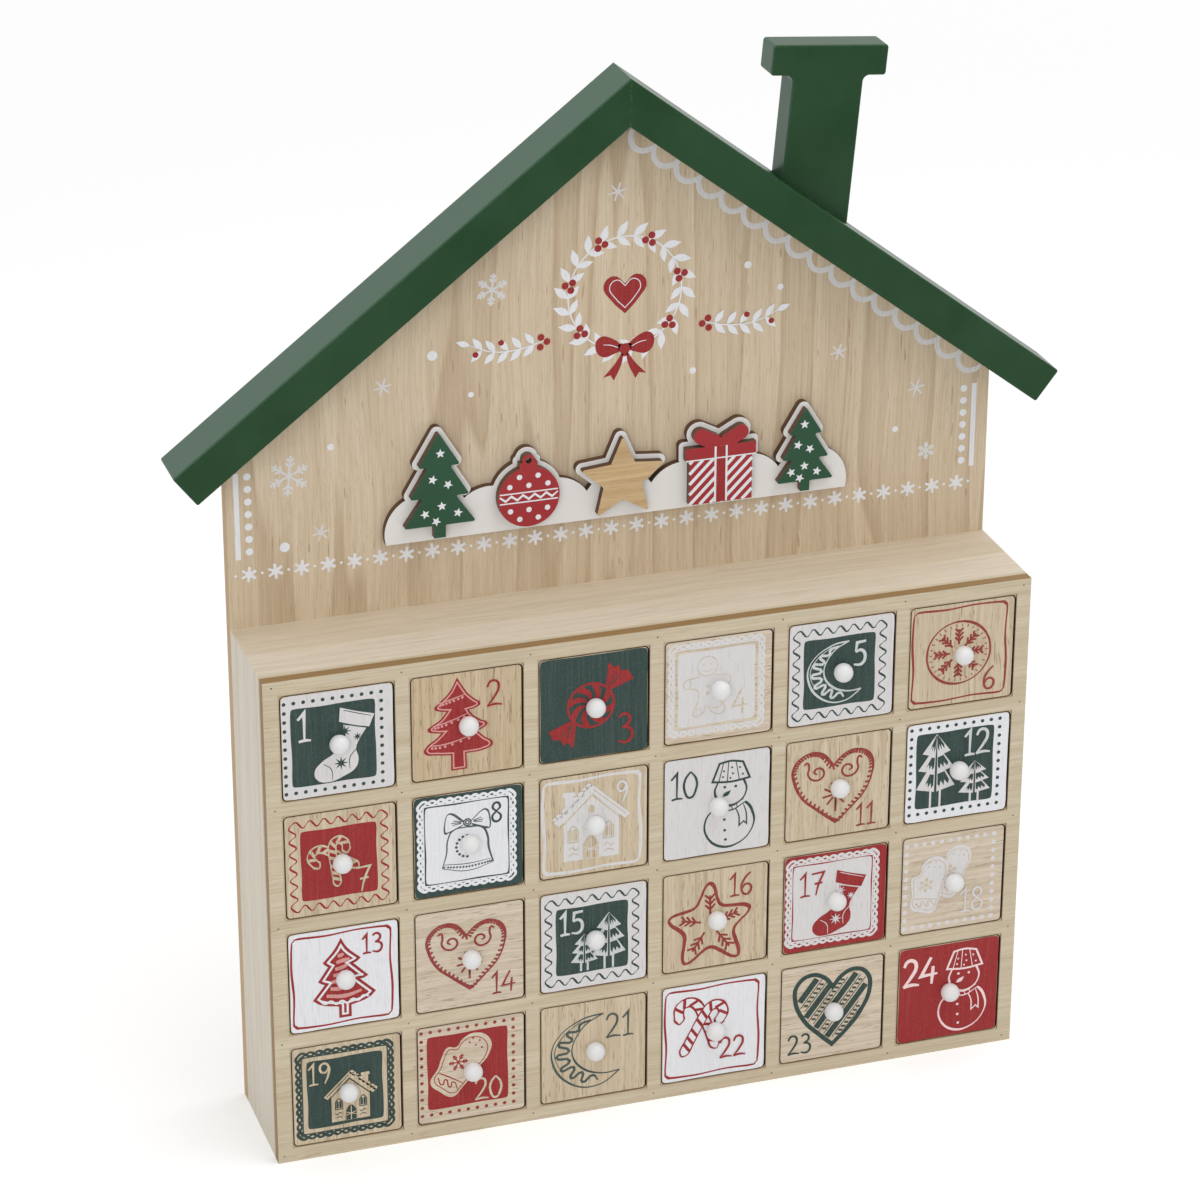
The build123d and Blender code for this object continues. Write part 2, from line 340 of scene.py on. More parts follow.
# Each ink with its colour, the colour where it is worn through, how much it is worn, and its slot
ink_rows = (
    ("white", (232, 233, 237), (212, 208, 204), 0.25, "white_paint"),
    ("red", (150, 40, 42), (176, 84, 80), 0.3, "red_paint"),
    ("green", (47, 65, 61), (84, 102, 96), 0.35, "leaf_paint"),
    ("pink", (214, 150, 146), (226, 180, 170), 0.3, "red_paint"),
    ("chalk", (219, 217, 217), (204, 197, 189), 0.3, "white_paint"),
    ("frost", (210, 213, 213), (172, 180, 177), 0.35, "white_paint"),
    ("rose", (246, 220, 220), (226, 170, 168), 0.3, "white_paint"),
    ("faded_red", (140, 52, 50), (178, 104, 92), 0.4, "red_paint"),
    ("faded_green", (68, 81, 77), (112, 120, 110), 0.4, "leaf_paint"),
)
inks = {}
for name, shade, through, wear, slot in ink_rows:
    inks[name] = (ink_finish(f"{name}_ink", colour(*shade), colour(*through), wear), slot)


def corner(x, z):
    """A point where an outline turns sharply."""
    return (x, z, "corner")


def sharp(*points):
    """An outline that turns sharply at each of its points."""
    return [corner(*point) for point in points]


def mirrored(side, points):
    """The same points, on the other side of the middle where side is -1."""
    return [(side * x, z, *kind) for x, z, *kind in points]


def polar(x, z, reach, turn):
    """A point at this reach from a centre, turned clockwise from straight up."""
    return (x + reach * sin(turn), z + reach * cos(turn))


def ring(x, z, radius, count=8):
    """A circle as evenly spaced points."""
    return [polar(x, z, radius, 2 * pi * step / count) for step in range(count)]


class Print:
    """The inks on one flat face: shapes drawn from its middle, each on its own coat."""

    def __init__(self, middle):
        self.face = Matrix.Translation(middle) @ Matrix.Rotation(pi / 2, 4, "X") @ Matrix.Scale(mm, 4)
        self.coat = 1
        self.sheets = {}
        self.brushes = {}
        self.at()

    def at(self, x=0, z=0, scale=1, turn=0, flip=1):
        """Draw what follows from this point, at this scale, turned, and mirrored where flip is -1."""
        shape = Matrix.Rotation(turn, 4, "Z") @ Matrix.Diagonal((scale * flip, scale, 1, 1))
        self.motif = Matrix.Translation((x, z, 0)) @ shape

    def over(self):
        """Draw what follows on a new coat."""
        self.coat += 1

    def sheet(self, ink, flatness):
        """A new flat curve for one ink, on the present coat."""
        curve = bpy.data.curves.new("ink", "CURVE")
        curve.dimensions = "2D"
        self.sheets.setdefault(ink, []).append((curve, self.coat, flatness))
        return curve

    def spline(self, curve, points, closed):
        """A smooth line through these points, sharp at its corners."""
        spline = curve.splines.new("BEZIER")
        spline.bezier_points.add(len(points) - 1)
        spline.use_cyclic_u = closed
        spline.resolution_u = curve_steps
        spline.use_smooth = False
        for knot, (x, z, *kind) in zip(spline.bezier_points, points):
            knot.co = self.motif @ Vector((x, z, 0))
            knot.handle_left_type = "VECTOR" if kind else "AUTO"
            knot.handle_right_type = knot.handle_left_type
        return spline

    def patch(self, ink, *outlines):
        """A filled shape, with any further outline as a hole in it or an island beside it."""
        curve = self.sheet(ink, 1)
        curve.fill_mode = "BOTH"
        curve.extrude = coat_depth / 2
        for outline in outlines:
            self.spline(curve, outline, True)

    def lines(self, ink, width, *strokes, closed=False):
        """Brush strokes of one width, thinner at their open ends."""
        brush = (ink, self.coat, width)
        if brush not in self.brushes:
            curve = self.sheet(ink, coat_depth / width)
            curve.fill_mode = "NONE"
            curve.bevel_depth = width / 2
            curve.bevel_resolution = 0
            curve.use_fill_caps = True
            self.brushes[brush] = curve
        for stroke in strokes:
            spline = self.spline(self.brushes[brush], stroke, closed)
            if not closed and len(stroke) > 2:
                spline.bezier_points[0].radius = stroke_start_share
                spline.bezier_points[-1].radius = stroke_end_share
        return spline

    def dots(self, ink, radius, *centres):
        """Round dots."""
        self.patch(ink, *[ring(x, z, radius) for x, z in centres])

    def press(self, name, body):
        """Make one mesh of each ink, in its place on the body that carries it."""
        for ink, sheets in self.sheets.items():
            bpy.ops.object.select_all(action="DESELECT")
            for curve, coat, flatness in sheets:
                sheet = bpy.data.objects.new(name, curve)
                bpy.context.scene.collection.objects.link(sheet)
                lift = Matrix.Translation((0, 0, (coat - 0.5) * coat_depth))
                sheet.matrix_world = self.face @ lift @ Matrix.Diagonal((1, 1, flatness, 1))
                sheet.select_set(True)
            bpy.context.view_layer.objects.active = sheet
            bpy.ops.object.convert(target="MESH")
            bpy.ops.object.join()
            bpy.ops.object.transform_apply()
            bpy.ops.object.mode_set(mode="EDIT")
            bpy.ops.mesh.select_all(action="SELECT")
            bpy.ops.mesh.remove_doubles(threshold=weld_length)
            bpy.ops.mesh.normals_make_consistent(inside=False)
            bpy.ops.object.mode_set(mode="OBJECT")
            piece = bpy.context.object
            piece.name = f"{name}_{ink}"
            finish, slot = inks[ink]
            piece.data.materials.clear()
            piece.data.materials.append(finish)
            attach(piece, body)


def asterisk(art, ink, x, z, reach, width, turn=0):
    """Three crossed strokes."""
    spokes = [turn + step * pi / 3 for step in range(3)]
    art.lines(ink, width, *[[polar(x, z, reach, a), (x, z), polar(x, z, -reach, a)] for a in spokes])


barb_shares = ((0.45, 0.30), (0.70, 0.24))


def snowflake(art, ink, x, z, reach, width, turn=0):
    """Six branched arms."""
    strokes = []
    for step in range(6):
        arm = turn + step * pi / 3
        strokes.append([(x, z), polar(x, z, reach, arm)])
        for share, barb in barb_shares:
            fork = polar(x, z, share * reach, arm)
            strokes += [[fork, polar(*fork, barb * reach, arm + side * pi / 4)] for side in (-1, 1)]
    art.lines(ink, width, *strokes)


def burst(art, ink, x, z, reach, points=8, inner_share=0.34, turn=0):
    """A filled star with sharp points."""
    lengths = [reach, inner_share * reach] * points
    ends = [polar(x, z, length, turn + step * pi / points) for step, length in enumerate(lengths)]
    art.patch(ink, sharp(*ends))


leaf_swell_share = 0.45
leaf_half_share = 0.2


def leaf(x, z, length, turn):
    """The outline of a pointed leaf that grows from a point."""
    middle = polar(x, z, leaf_swell_share * length, turn)
    swell = [polar(*middle, side * leaf_half_share * length, turn + pi / 2) for side in (-1, 1)]
    return [corner(x, z), swell[0], corner(*polar(x, z, length, turn)), swell[1]]


# Print on the panel: white frost, dots and a lace edge under the roof, and a wreath with red berries.
# It is printed on the veneer before the cut-outs are glued on.
panel_low, panel_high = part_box("house_panel")
gable_x = panel_high.x / mm
gable_z = panel_high.z / mm
eave_z = 270
gable_slope = atan2(gable_z - eave_z, gable_x)
panel_art = Print((0, panel_low.y, 0))

# A row of small frost stars with a dot between each two
row_first, row_last, row_z, row_count = -142.2, 138, 223.4, 29
row_pitch = (row_last - row_first) / (row_count - 1)
row_dot = 0.55
frost_reach, frost_width, frost_lean = 3.1, 1.35, 0.1
for step in range(row_count):
    lean = frost_lean * (-1) ** step
    asterisk(panel_art, "white", row_first + step * row_pitch, row_z, frost_reach, frost_width, turn=lean)
row_gaps = [row_first + (step - 0.5) * row_pitch for step in range(row_count + 1)]
panel_art.dots("white", row_dot, *[(x, row_z) for x in row_gaps])

# A line and a column of dots beside each edge
sides_x = -0.95
line_x, line_low, line_high, line_width = 145.05, 229.7, 264, 2.0
column_x, column_low, column_pitch, column_count, column_dot = 140.75, 232.5, 4.97, 7, 1.4
for side in (-1, 1):
    panel_art.at(sides_x, flip=side)
    panel_art.lines("white", line_width, sharp((line_x, line_low), (line_x, line_high)))
    column = [(column_x, column_low + step * column_pitch) for step in range(column_count)]
    panel_art.dots("white", column_dot, *column)

# Broad scallops under both slopes
scallop_pitch, scallop_first, scallop_count = 11.1, -3.0, 17
scallop_drop, scallop_width = 6.4, 2.1
scallop_lifts = {-1: 1.1, 1: 0}
scallop_shares = ((0, 0.16), (0.07, 0.56), (0.5, 1.0), (0.93, 0.56), (1, 0.16))
for side in (-1, 1):
    panel_art.at(0, gable_z, turn=-side * gable_slope, flip=side)
    for step in range(1, scallop_count):
        start = scallop_first + step * scallop_pitch
        loop = []
        for along, share in scallop_shares:
            loop.append((start + along * scallop_pitch, scallop_lifts[side] - share * scallop_drop))
        panel_art.lines("chalk", scallop_width, loop)
panel_art.at()

# Loose flakes, stars and dots, each with its place and its reach
flake_places = ((-126, 260.5, 8.0), (-48, 324, 6.3))
flake_turn = 0.1
small_flake = (125, 238.5, 3.6)
star_places = ((-90, 291, 3.4), (0, 356.5, 3.6), (88, 283.5, 3.3), (120, 265, 3.6), (-114.6, 236.5, 3.4))
star_turn = 0.3
loose_dots = (
    (-71, 301, 1.9),
    (-56.5, 284, 1.1),
    (-110, 270, 1.3),
    (-128.4, 232.5, 1.9),
    (51, 322.5, 1.4),
    (64, 312.4, 1.2),
    (29.8, 283, 1.3),
    (112, 249, 1.2),
)
for flake_place in flake_places:
    snowflake(panel_art, "chalk", *flake_place, plain, turn=flake_turn)
for star_place in star_places:
    asterisk(panel_art, "chalk", *star_place, plain, turn=star_turn)
snowflake(panel_art, "chalk", *small_flake, plain)
for x, z, radius in loose_dots:
    panel_art.dots("white", radius, (x, z))

# A wreath of leaves in the middle of the gable, with berries, a bow and a heart
wreath_x, wreath_z, wreath_reach, wreath_knots = 3, 317, 22, 16
leaf_pairs = 22
leaf_leans = ((0.75, 7.5), (2.3, 6.5))
berry_bunches = 7
berry_radius, berry_reach = 1.35, 1.7
bow_loop = [corner(0, 0), (5, 4.6), (10, 5.4), (11.4, 1.2), (8.6, -2.4), (4, -1.6)]
bow_ends = sharp((8.4, -10.6), (5.6, -10.0), (4.2, -12.2))
bow_tail = [corner(0.4, 0), (3.4, -5.0), *bow_ends, (1.2, -5.6)]
bow_fold = [(2.6, 0.7), (5.6, 2.0), (8.4, 2.4)]
bow_knot = 2.1
heart_shares = (corner(0, 0.42), (0.52, 0.82), (0.98, 0.42), (0.62, -0.30), corner(0, -0.95))
heart_half = 8.5
heart_line_share, heart_line_rise_share, heart_line_lift = 0.72, 0.74, 0.2
panel_art.lines("white", fine, ring(wreath_x, wreath_z, wreath_reach, wreath_knots), closed=True)
for step in range(leaf_pairs):
    turn = 2 * pi * (step + 0.5) / leaf_pairs
    stem = polar(wreath_x, wreath_z, wreath_reach, turn)
    for lean, length in leaf_leans:
        panel_art.patch("white", leaf(*stem, length, turn + lean))
panel_art.over()
for step in range(berry_bunches):
    turn = 2 * pi * (step + 0.5) / berry_bunches
    stem = polar(wreath_x, wreath_z, wreath_reach, turn)
    bunch = [polar(*stem, berry_reach, turn + berry * 2 * pi / 3) for berry in range(3)]
    panel_art.dots("red", berry_radius, *bunch)
panel_art.at(wreath_x, wreath_z - wreath_reach)
for side in (-1, 1):
    for outline in (bow_loop, bow_tail):
        panel_art.patch("red", mirrored(side, outline))
panel_art.over()
panel_art.patch("red", ring(0, 0, bow_knot))
for side in (-1, 1):
    panel_art.lines("white", hair, mirrored(side, bow_fold))
panel_art.at(wreath_x, wreath_z)
heart_right = [(x * heart_half, z * heart_half, *kind) for x, z, *kind in heart_shares]
heart = heart_right + mirrored(-1, reversed(heart_right[1:-1]))
panel_art.patch("red", heart)
panel_art.over()
heart_line = []
for x, z, *kind in heart:
    heart_line.append((x * heart_line_share, z * heart_line_rise_share + heart_line_lift, *kind))
panel_art.lines("white", hair, heart_line, closed=True)

# A sprig on each side of the wreath
side_sprig_x, side_sprig_drop = 31, 15
side_stem = [(0, 0), (10, -2.4), (20, -2.2), (29, 1.4)]
side_leaf_places = ((4, -1.2), (9, -2.2), (14, -2.5), (19, -2.3), (24, -0.9))
side_leaf_length, side_leaf_leans = 6.4, (0.65, 2.35)
side_tip_leaf = (28.5, 1.1, 6.0, 1.2)
side_berries = ((1.5, 1.3), (1.8, -2.5), (-0.8, -0.6))
side_small_berries = ((16.8, 1.0), (26.6, -2.6))
side_berry, side_small_berry = 1.3, 1.1
for side in (-1, 1):
    panel_art.at(wreath_x + side * side_sprig_x, wreath_z - side_sprig_drop, flip=side)
    panel_art.lines("white", fine, side_stem)
    for leaf_place in side_leaf_places:
        for lean in side_leaf_leans:
            panel_art.patch("white", leaf(*leaf_place, side_leaf_length, lean))
    panel_art.patch("white", leaf(*side_tip_leaf))
    panel_art.over()
    panel_art.dots("red", side_berry, *side_berries)
    panel_art.dots("red", side_small_berry, *side_small_berries)
panel_art.press("panel_print", "house")

# Ornaments: plywood cut-outs on the panel, a white layer behind and a coloured layer in front.
# The cutter has burnt their edges dark brown, and the coloured ones are printed in white.
burnt_edge = colour(92, 66, 46)
cut_out_rough = 0.5
cut_out_paints = (
    ("ornament_backing", "ornament_white", (228, 226, 223), (238, 236, 233)),
    ("ornaments_red", "ornament_red", (156, 34, 40), (176, 62, 64)),
    ("ornaments_green", "ornament_green", (24, 70, 44), (54, 96, 72)),
)
ply_tones = ((216, 190, 150), (205, 175, 131), (176, 142, 98))
ply_widths = (14 * mm, 2.2 * mm)
ply_strengths = (0.5, 0.5)


def paint_over(finish, factor, tone, blend="MIX"):
    """Lay one more tone over a finish."""
    shader = finish.node_tree.nodes["Principled BSDF"]
    under = shader.inputs["Base Color"].links[0].from_socket
    link(finish, mixed(finish, factor, under, tone, blend), shader, "Base Color")


for node, name, shade, rubbed in cut_out_paints:
    cut_out_paint = paint_finish(name, colour(*shade), colour(*rubbed), cut_out_rough)
    paint_over(cut_out_paint, sawn_mask(cut_out_paint), burnt_edge)
    dress(node, cut_out_paint)
bare_ply = wood_finish("bare_ply", ply_tones, "X", ply_widths, ply_strengths, edge=burnt_edge)
dress("ornaments_natural", bare_ply)

red_low, red_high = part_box("ornaments_red")
green_low, green_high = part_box("ornaments_green")
ornament_face = red_low.y
ornament_base = red_low.z

# Dots and a band on the bauble
bauble_reach = 12
bauble_dot = 1.05
bauble_rows = ((8.2, (-3.6, 3.6)), (4.6, (-7.4, 0, 7.4)), (-5.2, (-7.2, 0, 7.2)), (-8.7, (-3.6, 3.6)))
band_half, band_zs = 11.3, (-1.9, 1.9)
zigzag_count, zigzag_swing = 10, 0.9
bauble_art = Print((red_low.x + bauble_reach * mm, ornament_face, ornament_base + bauble_reach * mm))
for dots_z, dot_xs in bauble_rows:
    bauble_art.dots("white", bauble_dot, *[(x, dots_z) for x in dot_xs])
for z in band_zs:
    bauble_art.lines("white", fine, sharp((-band_half, z), (band_half, z)))
zigzag = []
for step in range(zigzag_count + 1):
    zigzag.append(((step / zigzag_count - 0.5) * 2 * band_half, zigzag_swing * (-1) ** step))
bauble_art.lines("white", plain, sharp(*zigzag))
bauble_art.press("bauble_print", "house")

# Slanted stripes, a ribbon and the edge of the lid on the gift
gift_half = 14
gift_box_half, gift_box_height = 12.5, 18
stripe_pitch, stripe_width = 4.2, 1.3
first_stripe, last_stripe = -4, 9
ribbon_coats = ((2.6, "white"), (1.8, "red"))
ribbon_low, ribbon_high, lid_z = 0.2, 22.8, 18.1
gift_art = Print((red_high.x - gift_half * mm, ornament_face, ornament_base))
for step in range(first_stripe, last_stripe + 1):
    start = -gift_box_half + step * stripe_pitch
    low_x = max(-gift_box_half, start)
    high_x = min(gift_box_half, start + gift_box_height)
    if low_x < high_x:
        gift_art.lines("white", stripe_width, sharp((low_x, low_x - start), (high_x, high_x - start)))
gift_art.over()
for half, ink in ribbon_coats:
    ribbon = sharp((-half, ribbon_low), (half, ribbon_low), (half, ribbon_high), (-half, ribbon_high))
    gift_art.patch(ink, ribbon)
    gift_art.over()
gift_art.lines("white", fine, sharp((-gift_half, lid_z), (gift_half, lid_z)))
gift_art.press("gift_print", "house")

# Stars on the two trees, placed by shares of a tree's half width and height
tall_half, tall_height = 14, 42
short_half, short_height = 11.5, 34
star_shares = (
    (0, 0.80), (-0.22, 0.56), (0.20, 0.50), (-0.44, 0.24), (0.02, 0.30), (0.46, 0.22), (-0.14, 0.16),
)
tree_star = {"points": 5, "inner_share": 0.45}
tree_star_reach, tree_star_turn = 1.9, 0.3
trees = (
    ("tall_tree_print", green_low.x + tall_half * mm, tall_half, tall_height),
    ("short_tree_print", green_high.x - short_half * mm, short_half, short_height),
)
for name, middle, half, height in trees:
    tree_art = Print((middle, ornament_face, ornament_base))
    for step, (x, z) in enumerate(star_shares):
        turn = tree_star_turn * step
        burst(tree_art, "white", x * half, z * height, tree_star_reach, turn=turn, **tree_star)
    tree_art.press(name, "house")

# Cabinet: four mitred boards of pale solid wood, glued to the front of the panel.
# The grain runs along the top and bottom boards and up the sides, and the front of the top board is sapwood.
rail_tones = ((227, 216, 199), (219, 207, 188), (203, 187, 162))
side_tones = ((230, 223, 209), (223, 214, 198), (206, 192, 171))
board_widths = (30 * mm, 4.0 * mm)
board_strengths = (0.25, 0.5)
heart_tint = (0.96, 0.93, 0.88, 1)
heart_start = -2.5 * mm
heart_end = 2.5 * mm
rail_wood = wood_finish("cabinet_rail_wood", rail_tones, "X", board_widths, board_strengths)
rail_depth = parts(rail_wood, object_place(rail_wood))["Y"]
inward = {"Value": rail_depth, "From Min": heart_start, "From Max": heart_end}
heart_share = add_node(rail_wood, "MapRange", inward, interpolation_type="SMOOTHSTEP").outputs["Result"]
paint_over(rail_wood, heart_share, heart_tint, "MULTIPLY")
dress("cabinet_rails", rail_wood)
dress("cabinet_sides", wood_finish("cabinet_side_wood", side_tones, "Z", board_widths, board_strengths))

# Divider grid: thin cross-lapped shelves and dividers that part the bays inside the cabinet.
# They are unsanded board, a little greyer than the cabinet.
inner_tones = ((205, 187, 158), (192, 171, 140), (162, 138, 106))
inner_widths = (22 * mm, 2.2 * mm)
inner_strengths = (0.5, 0.5)
dress("divider_grid", wood_finish("inner_board", inner_tones, "X", inner_widths, inner_strengths))

# Face frame: one thin board with a window for each drawer, pinned to the front of the cabinet.
# Outer edges scorched brown; window walls scorched with painted shade; a thin painted shadow at their right.
frame_low, frame_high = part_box("face_frame")
frame_middle = (frame_low.z + frame_high.z) / 2
half_wide = (frame_high.x - frame_low.x) / 2
half_high = (frame_high.z - frame_low.z) / 2
bay_pitch = 49 * mm
bar_half = 3 * mm
rim_width = 6 * mm
frame_tones = ((212, 200, 176), (204, 190, 163), (184, 166, 134))
frame_widths = (26 * mm, 3.0 * mm)
frame_strengths = (0.3, 0.5)
rim_scorch_depth = 4.4 * mm
rim_scorch = {"edge": colour(151, 121, 81), "depth": frame_low.y + rim_scorch_depth}
# Window walls: dark scorch, darkened further as painted shade; walls that face up are paler, as painted
# light from above
window_scorch_and_shade = colour(34, 24, 17)
sill_scorch_and_light = colour(184, 158, 123)
sill_light_marks = ((0.4, black), (0.9, white))
stain_width = 0.7 * mm
stain_tone = colour(150, 122, 88)
stain_marks = ((0.0, grey(0.55)), (1.0, black))
# A thin strip on the face just right of each window, darkened as a painted shadow
right_shadow_width = 0.35 * mm
right_painted_shadow = colour(92, 72, 52)
frame_wood = wood_finish("frame_wood", frame_tones, "X", frame_widths, frame_strengths, **rim_scorch)


def between_rims(finish, along, half):
    """1 inside the frame's outer edges along one axis, and 0 on them."""
    return math(finish, "LESS_THAN", math(finish, "ABSOLUTE", along), half - rim_width / 2)


def bar_reach(finish, along):
    """How far a point lies from the middle of the nearest bar along one axis."""
    return math(finish, "PINGPONG", along, bay_pitch / 2)


def scorch_windows(finish):
    """Stain beside the windows, paint a shadow strip on their right, and scorch and shade their walls."""
    along = parts(finish, vectors(finish, "SUBTRACT", object_place(finish), (0, 0, frame_middle)))
    across = between_rims(finish, along["X"], half_wide)
    inside = math(finish, "MULTIPLY", across, between_rims(finish, along["Z"], half_high))
    level_reach = bar_reach(finish, along["Z"])
    reach = math(finish, "MINIMUM", bar_reach(finish, along["X"]), level_reach)
    share = math(finish, "DIVIDE", math(finish, "SUBTRACT", bar_half, reach), stain_width)
    stain = stops(finish, share, *stain_marks)
    paint_over(finish, math(finish, "MULTIPLY", inside, stain), stain_tone)
    # Painted shadow: a thin dark strip on the face just right of each window
    from_left = math(finish, "FLOORED_MODULO", along["X"], bay_pitch)
    past_window = math(finish, "SUBTRACT", from_left, bay_pitch - bar_half)
    past = math(finish, "GREATER_THAN", past_window, 0)
    close = math(finish, "LESS_THAN", past_window, right_shadow_width)
    between_bars = math(finish, "GREATER_THAN", level_reach, bar_half)
    strip = math(finish, "MULTIPLY", math(finish, "MULTIPLY", close, past), between_bars)
    paint_over(finish, math(finish, "MULTIPLY", strip, inside), right_painted_shadow)
    # Window walls: scorch and painted shade, mixed paler where they face up as painted light from above
    upward = stops(finish, parts(finish, facing(finish))["Z"], *sill_light_marks)
    wall_scorch_and_shade = mixed(finish, upward, window_scorch_and_shade, sill_scorch_and_light)
    paint_over(finish, math(finish, "MULTIPLY", inside, sawn_mask(finish)), wall_scorch_and_shade)


scorch_windows(frame_wood)
dress("face_frame", frame_wood)

# Brads: short steel pins through each crossing of the face frame into the dividers behind it.
# They are driven by hand, so each one sits a little off the middle of its crossing.
brad_radius = 0.4 * mm
brad_depth = 0.3 * mm
brad_proud = 0.05 * mm
brad_round = 0.08 * mm
brad_sides = 12
brad_stray = 0.8 * mm
brad_stray_swing = 7
brad_stray_turn = 2.4
brad_marks = ((0.3, colour(96, 80, 62)), (0.7, colour(142, 126, 104)))
brad_roughness = (0.4, 0.7)
brad_metal = 0.5
brad_xs = [column * bay_pitch for column in range(-2, 3)]
brad_xs += [frame_low.x + rim_width / 2, frame_high.x - rim_width / 2]
brad_zs = [frame_middle + row * bay_pitch for row in range(-1, 2)]
brad_zs += [frame_low.z + rim_width / 2, frame_high.z - rim_width / 2]
brad_y = frame_low.y + brad_depth / 2 - brad_proud
crossings = [(x, z) for x in brad_xs for z in brad_zs]
bpy.ops.object.select_all(action="DESELECT")
for step, crossing in enumerate(crossings):
    stray = brad_stray * sin(brad_stray_swing * step) ** 2
    brad_x, brad_z = polar(*crossing, stray, brad_stray_turn * step)
    bpy.ops.mesh.primitive_cylinder_add(
        vertices=brad_sides,
        radius=brad_radius,
        depth=brad_depth,
        location=(brad_x, brad_y, brad_z),
        rotation=(pi / 2, 0, 0),
    )
    if bpy.context.mode == "OBJECT":
        brads = bpy.context.object
        bpy.ops.object.transform_apply()
        bpy.ops.object.mode_set(mode="EDIT")
bpy.ops.mesh.select_all(action="SELECT")
bpy.ops.mesh.bevel(offset=brad_round, segments=1)
bpy.ops.object.mode_set(mode="OBJECT")
brads.name = "frame_brads"
brad_steel, brad_shader = new_finish("brad_steel")
tarnish = noise(brad_steel, object_place(brad_steel), peel_width, peel_detail)
link(brad_steel, stops(brad_steel, tarnish, *brad_marks), brad_shader, "Base Color")
link(brad_steel, spread(brad_steel, tarnish, *brad_roughness), brad_shader, "Roughness")
brad_shader.inputs["Metallic"].default_value = brad_metal
brads.data.materials.append(brad_steel)
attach(brads, "house")

# Drawers: thin boxes of bare wood behind a square front that is flush with the frame.
# Each front is cut from another place in the board, and the cutter has scorched its edges.
drawer_columns = 6
drawer_rows = 4
days = range(1, drawer_columns * drawer_rows + 1)
upright_tones = ((215, 200, 175), (207, 190, 162), (154, 128, 95))
level_tones = ((220, 207, 188), (213, 198, 177), (164, 142, 112))
warm_tones = ((210, 191, 161), (202, 180, 147), (140, 112, 78))
level_days = (4, 10, 14, 18, 20, 22, 23)
warm_days = (2,)
drawer_widths = (11 * mm, 2.0 * mm)
drawer_strengths = (0.3, 0.8)
front_edge = {"edge": colour(154, 126, 94), "depth": frame_high.y}
far = 10.0


def drawer_place(finish):
    """A place on the board that jumps from drawer to drawer."""
    place = object_place(finish)
    raised = vectors(finish, "ADD", place, (0, far / 2, -bar_half))
    bay = vectors(finish, "SNAP", raised, (bay_pitch, far, bay_pitch))
    jump = add_node(finish, "TexWhiteNoise", {"Vector": bay}, noise_dimensions="3D").outputs["Color"]
    return vectors(finish, "MULTIPLY_ADD", jump, (1, 0, 1), place)


def front_wood(name, tones, axis):
    """The drawers' wood, with its grain along one axis."""
    cut = {"place_of": drawer_place, **front_edge}
    return wood_finish(name, tones, axis, drawer_widths, drawer_strengths, **cut)


wood_of_day = dict.fromkeys(days, front_wood("drawer_wood_upright", upright_tones, "Z"))
wood_of_day.update(dict.fromkeys(level_days, front_wood("drawer_wood_level", level_tones, "X")))
wood_of_day.update(dict.fromkeys(warm_days, front_wood("drawer_wood_warm", warm_tones, "Z")))
for day, wood in wood_of_day.items():
    dress(f"drawer_{day:02d}", wood)

# Knobs: turned wooden balls, dipped in white paint and pegged into the fronts.
# The dip leaves a smooth coat with a soft gloss.
knob_coat = colour(225, 225, 225)
knob_rub = colour(232, 231, 230)
knob_rough = 0.36
knob_white = paint_finish("knob_white", knob_coat, knob_rub, knob_rough)
for day in days:
    dress(f"knob_{day:02d}", knob_white)

# Prints on the drawer fronts: a ground, a border, often a coloured field, one figure and the day's number.
# Where the wood is left bare inside a coloured field, a patch of it lies on the ink.
front_half = 20.8
front_round = 1.4
field_round = 1.0
field_sway = 0.15
bend_share = 0.3


def hand_square(half, rounding, sway=0):
    """A rounded square with sides that sway a little, as drawn by hand."""
    straight = half - rounding
    bend = half - bend_share * rounding
    swayed = ((half + sway, -straight / 3), (half - sway, straight / 3))
    side = ((half, -straight), *swayed, (half, straight), (bend, bend))
    turns = [Matrix.Rotation(quarter * pi / 2, 2) for quarter in range(4)]
    return [tuple(turn @ Vector(point)) for turn in turns for point in side]


def around_square(half, count, swing=0, start_share=0.5):
    """Points along the four sides of a square, swinging out of it and in by turns."""
    points = []
    for quarter in range(4):
        turn = Matrix.Rotation(quarter * pi / 2, 2)
        for step in range(count):
            place = (2 * (step + start_share) / count - 1) * half
            points.append(tuple(turn @ Vector((half + swing * (-1) ** step, place))))
    return points


def sampled(points, count, closed=False):
    """Points on a smooth curve through these points, each with the curve's direction there."""
    spans = len(points) if closed else len(points) - 1
    found = []
    for step in range(count + 1):
        span = min(int(step * spans / count), spans - 1)
        share = step * spans / count - span
        picks = range(span - 1, span + 3)
        if closed:
            picks = [pick % len(points) for pick in picks]
        else:
            picks = [min(max(pick, 0), spans) for pick in picks]
        a, b, c, d = [Vector(points[pick][:2]) for pick in picks]
        square, cube = 2 * a - 5 * b + 4 * c - d, 3 * b - a - 3 * c + d
        place = (2 * b + (c - a) * share + square * share**2 + cube * share**3) / 2
        found.append((place, ((c - a) + 2 * square * share + 3 * cube * share**2).normalized()))
    return found


press_share = 0.16
press_turn = 0.9


def pen_line(art, ink, width, path, thin_share=0.5, closed=False):
    """A line of a slanted pen, pressed unevenly: broad where it falls to the right, thin where it rises."""
    course = sampled(path, 2 * len(path), closed)
    if closed:
        course = course[:-1]
    line = art.lines(ink, width, [tuple(place) for place, way in course], closed=closed)
    for step, (knot, (place, way)) in enumerate(zip(line.bezier_points, course)):
        slanted = thin_share + (1 - thin_share) * (0.5 - way.x * way.y)
        knot.radius = slanted * (1 + press_share * sin(press_turn * step))


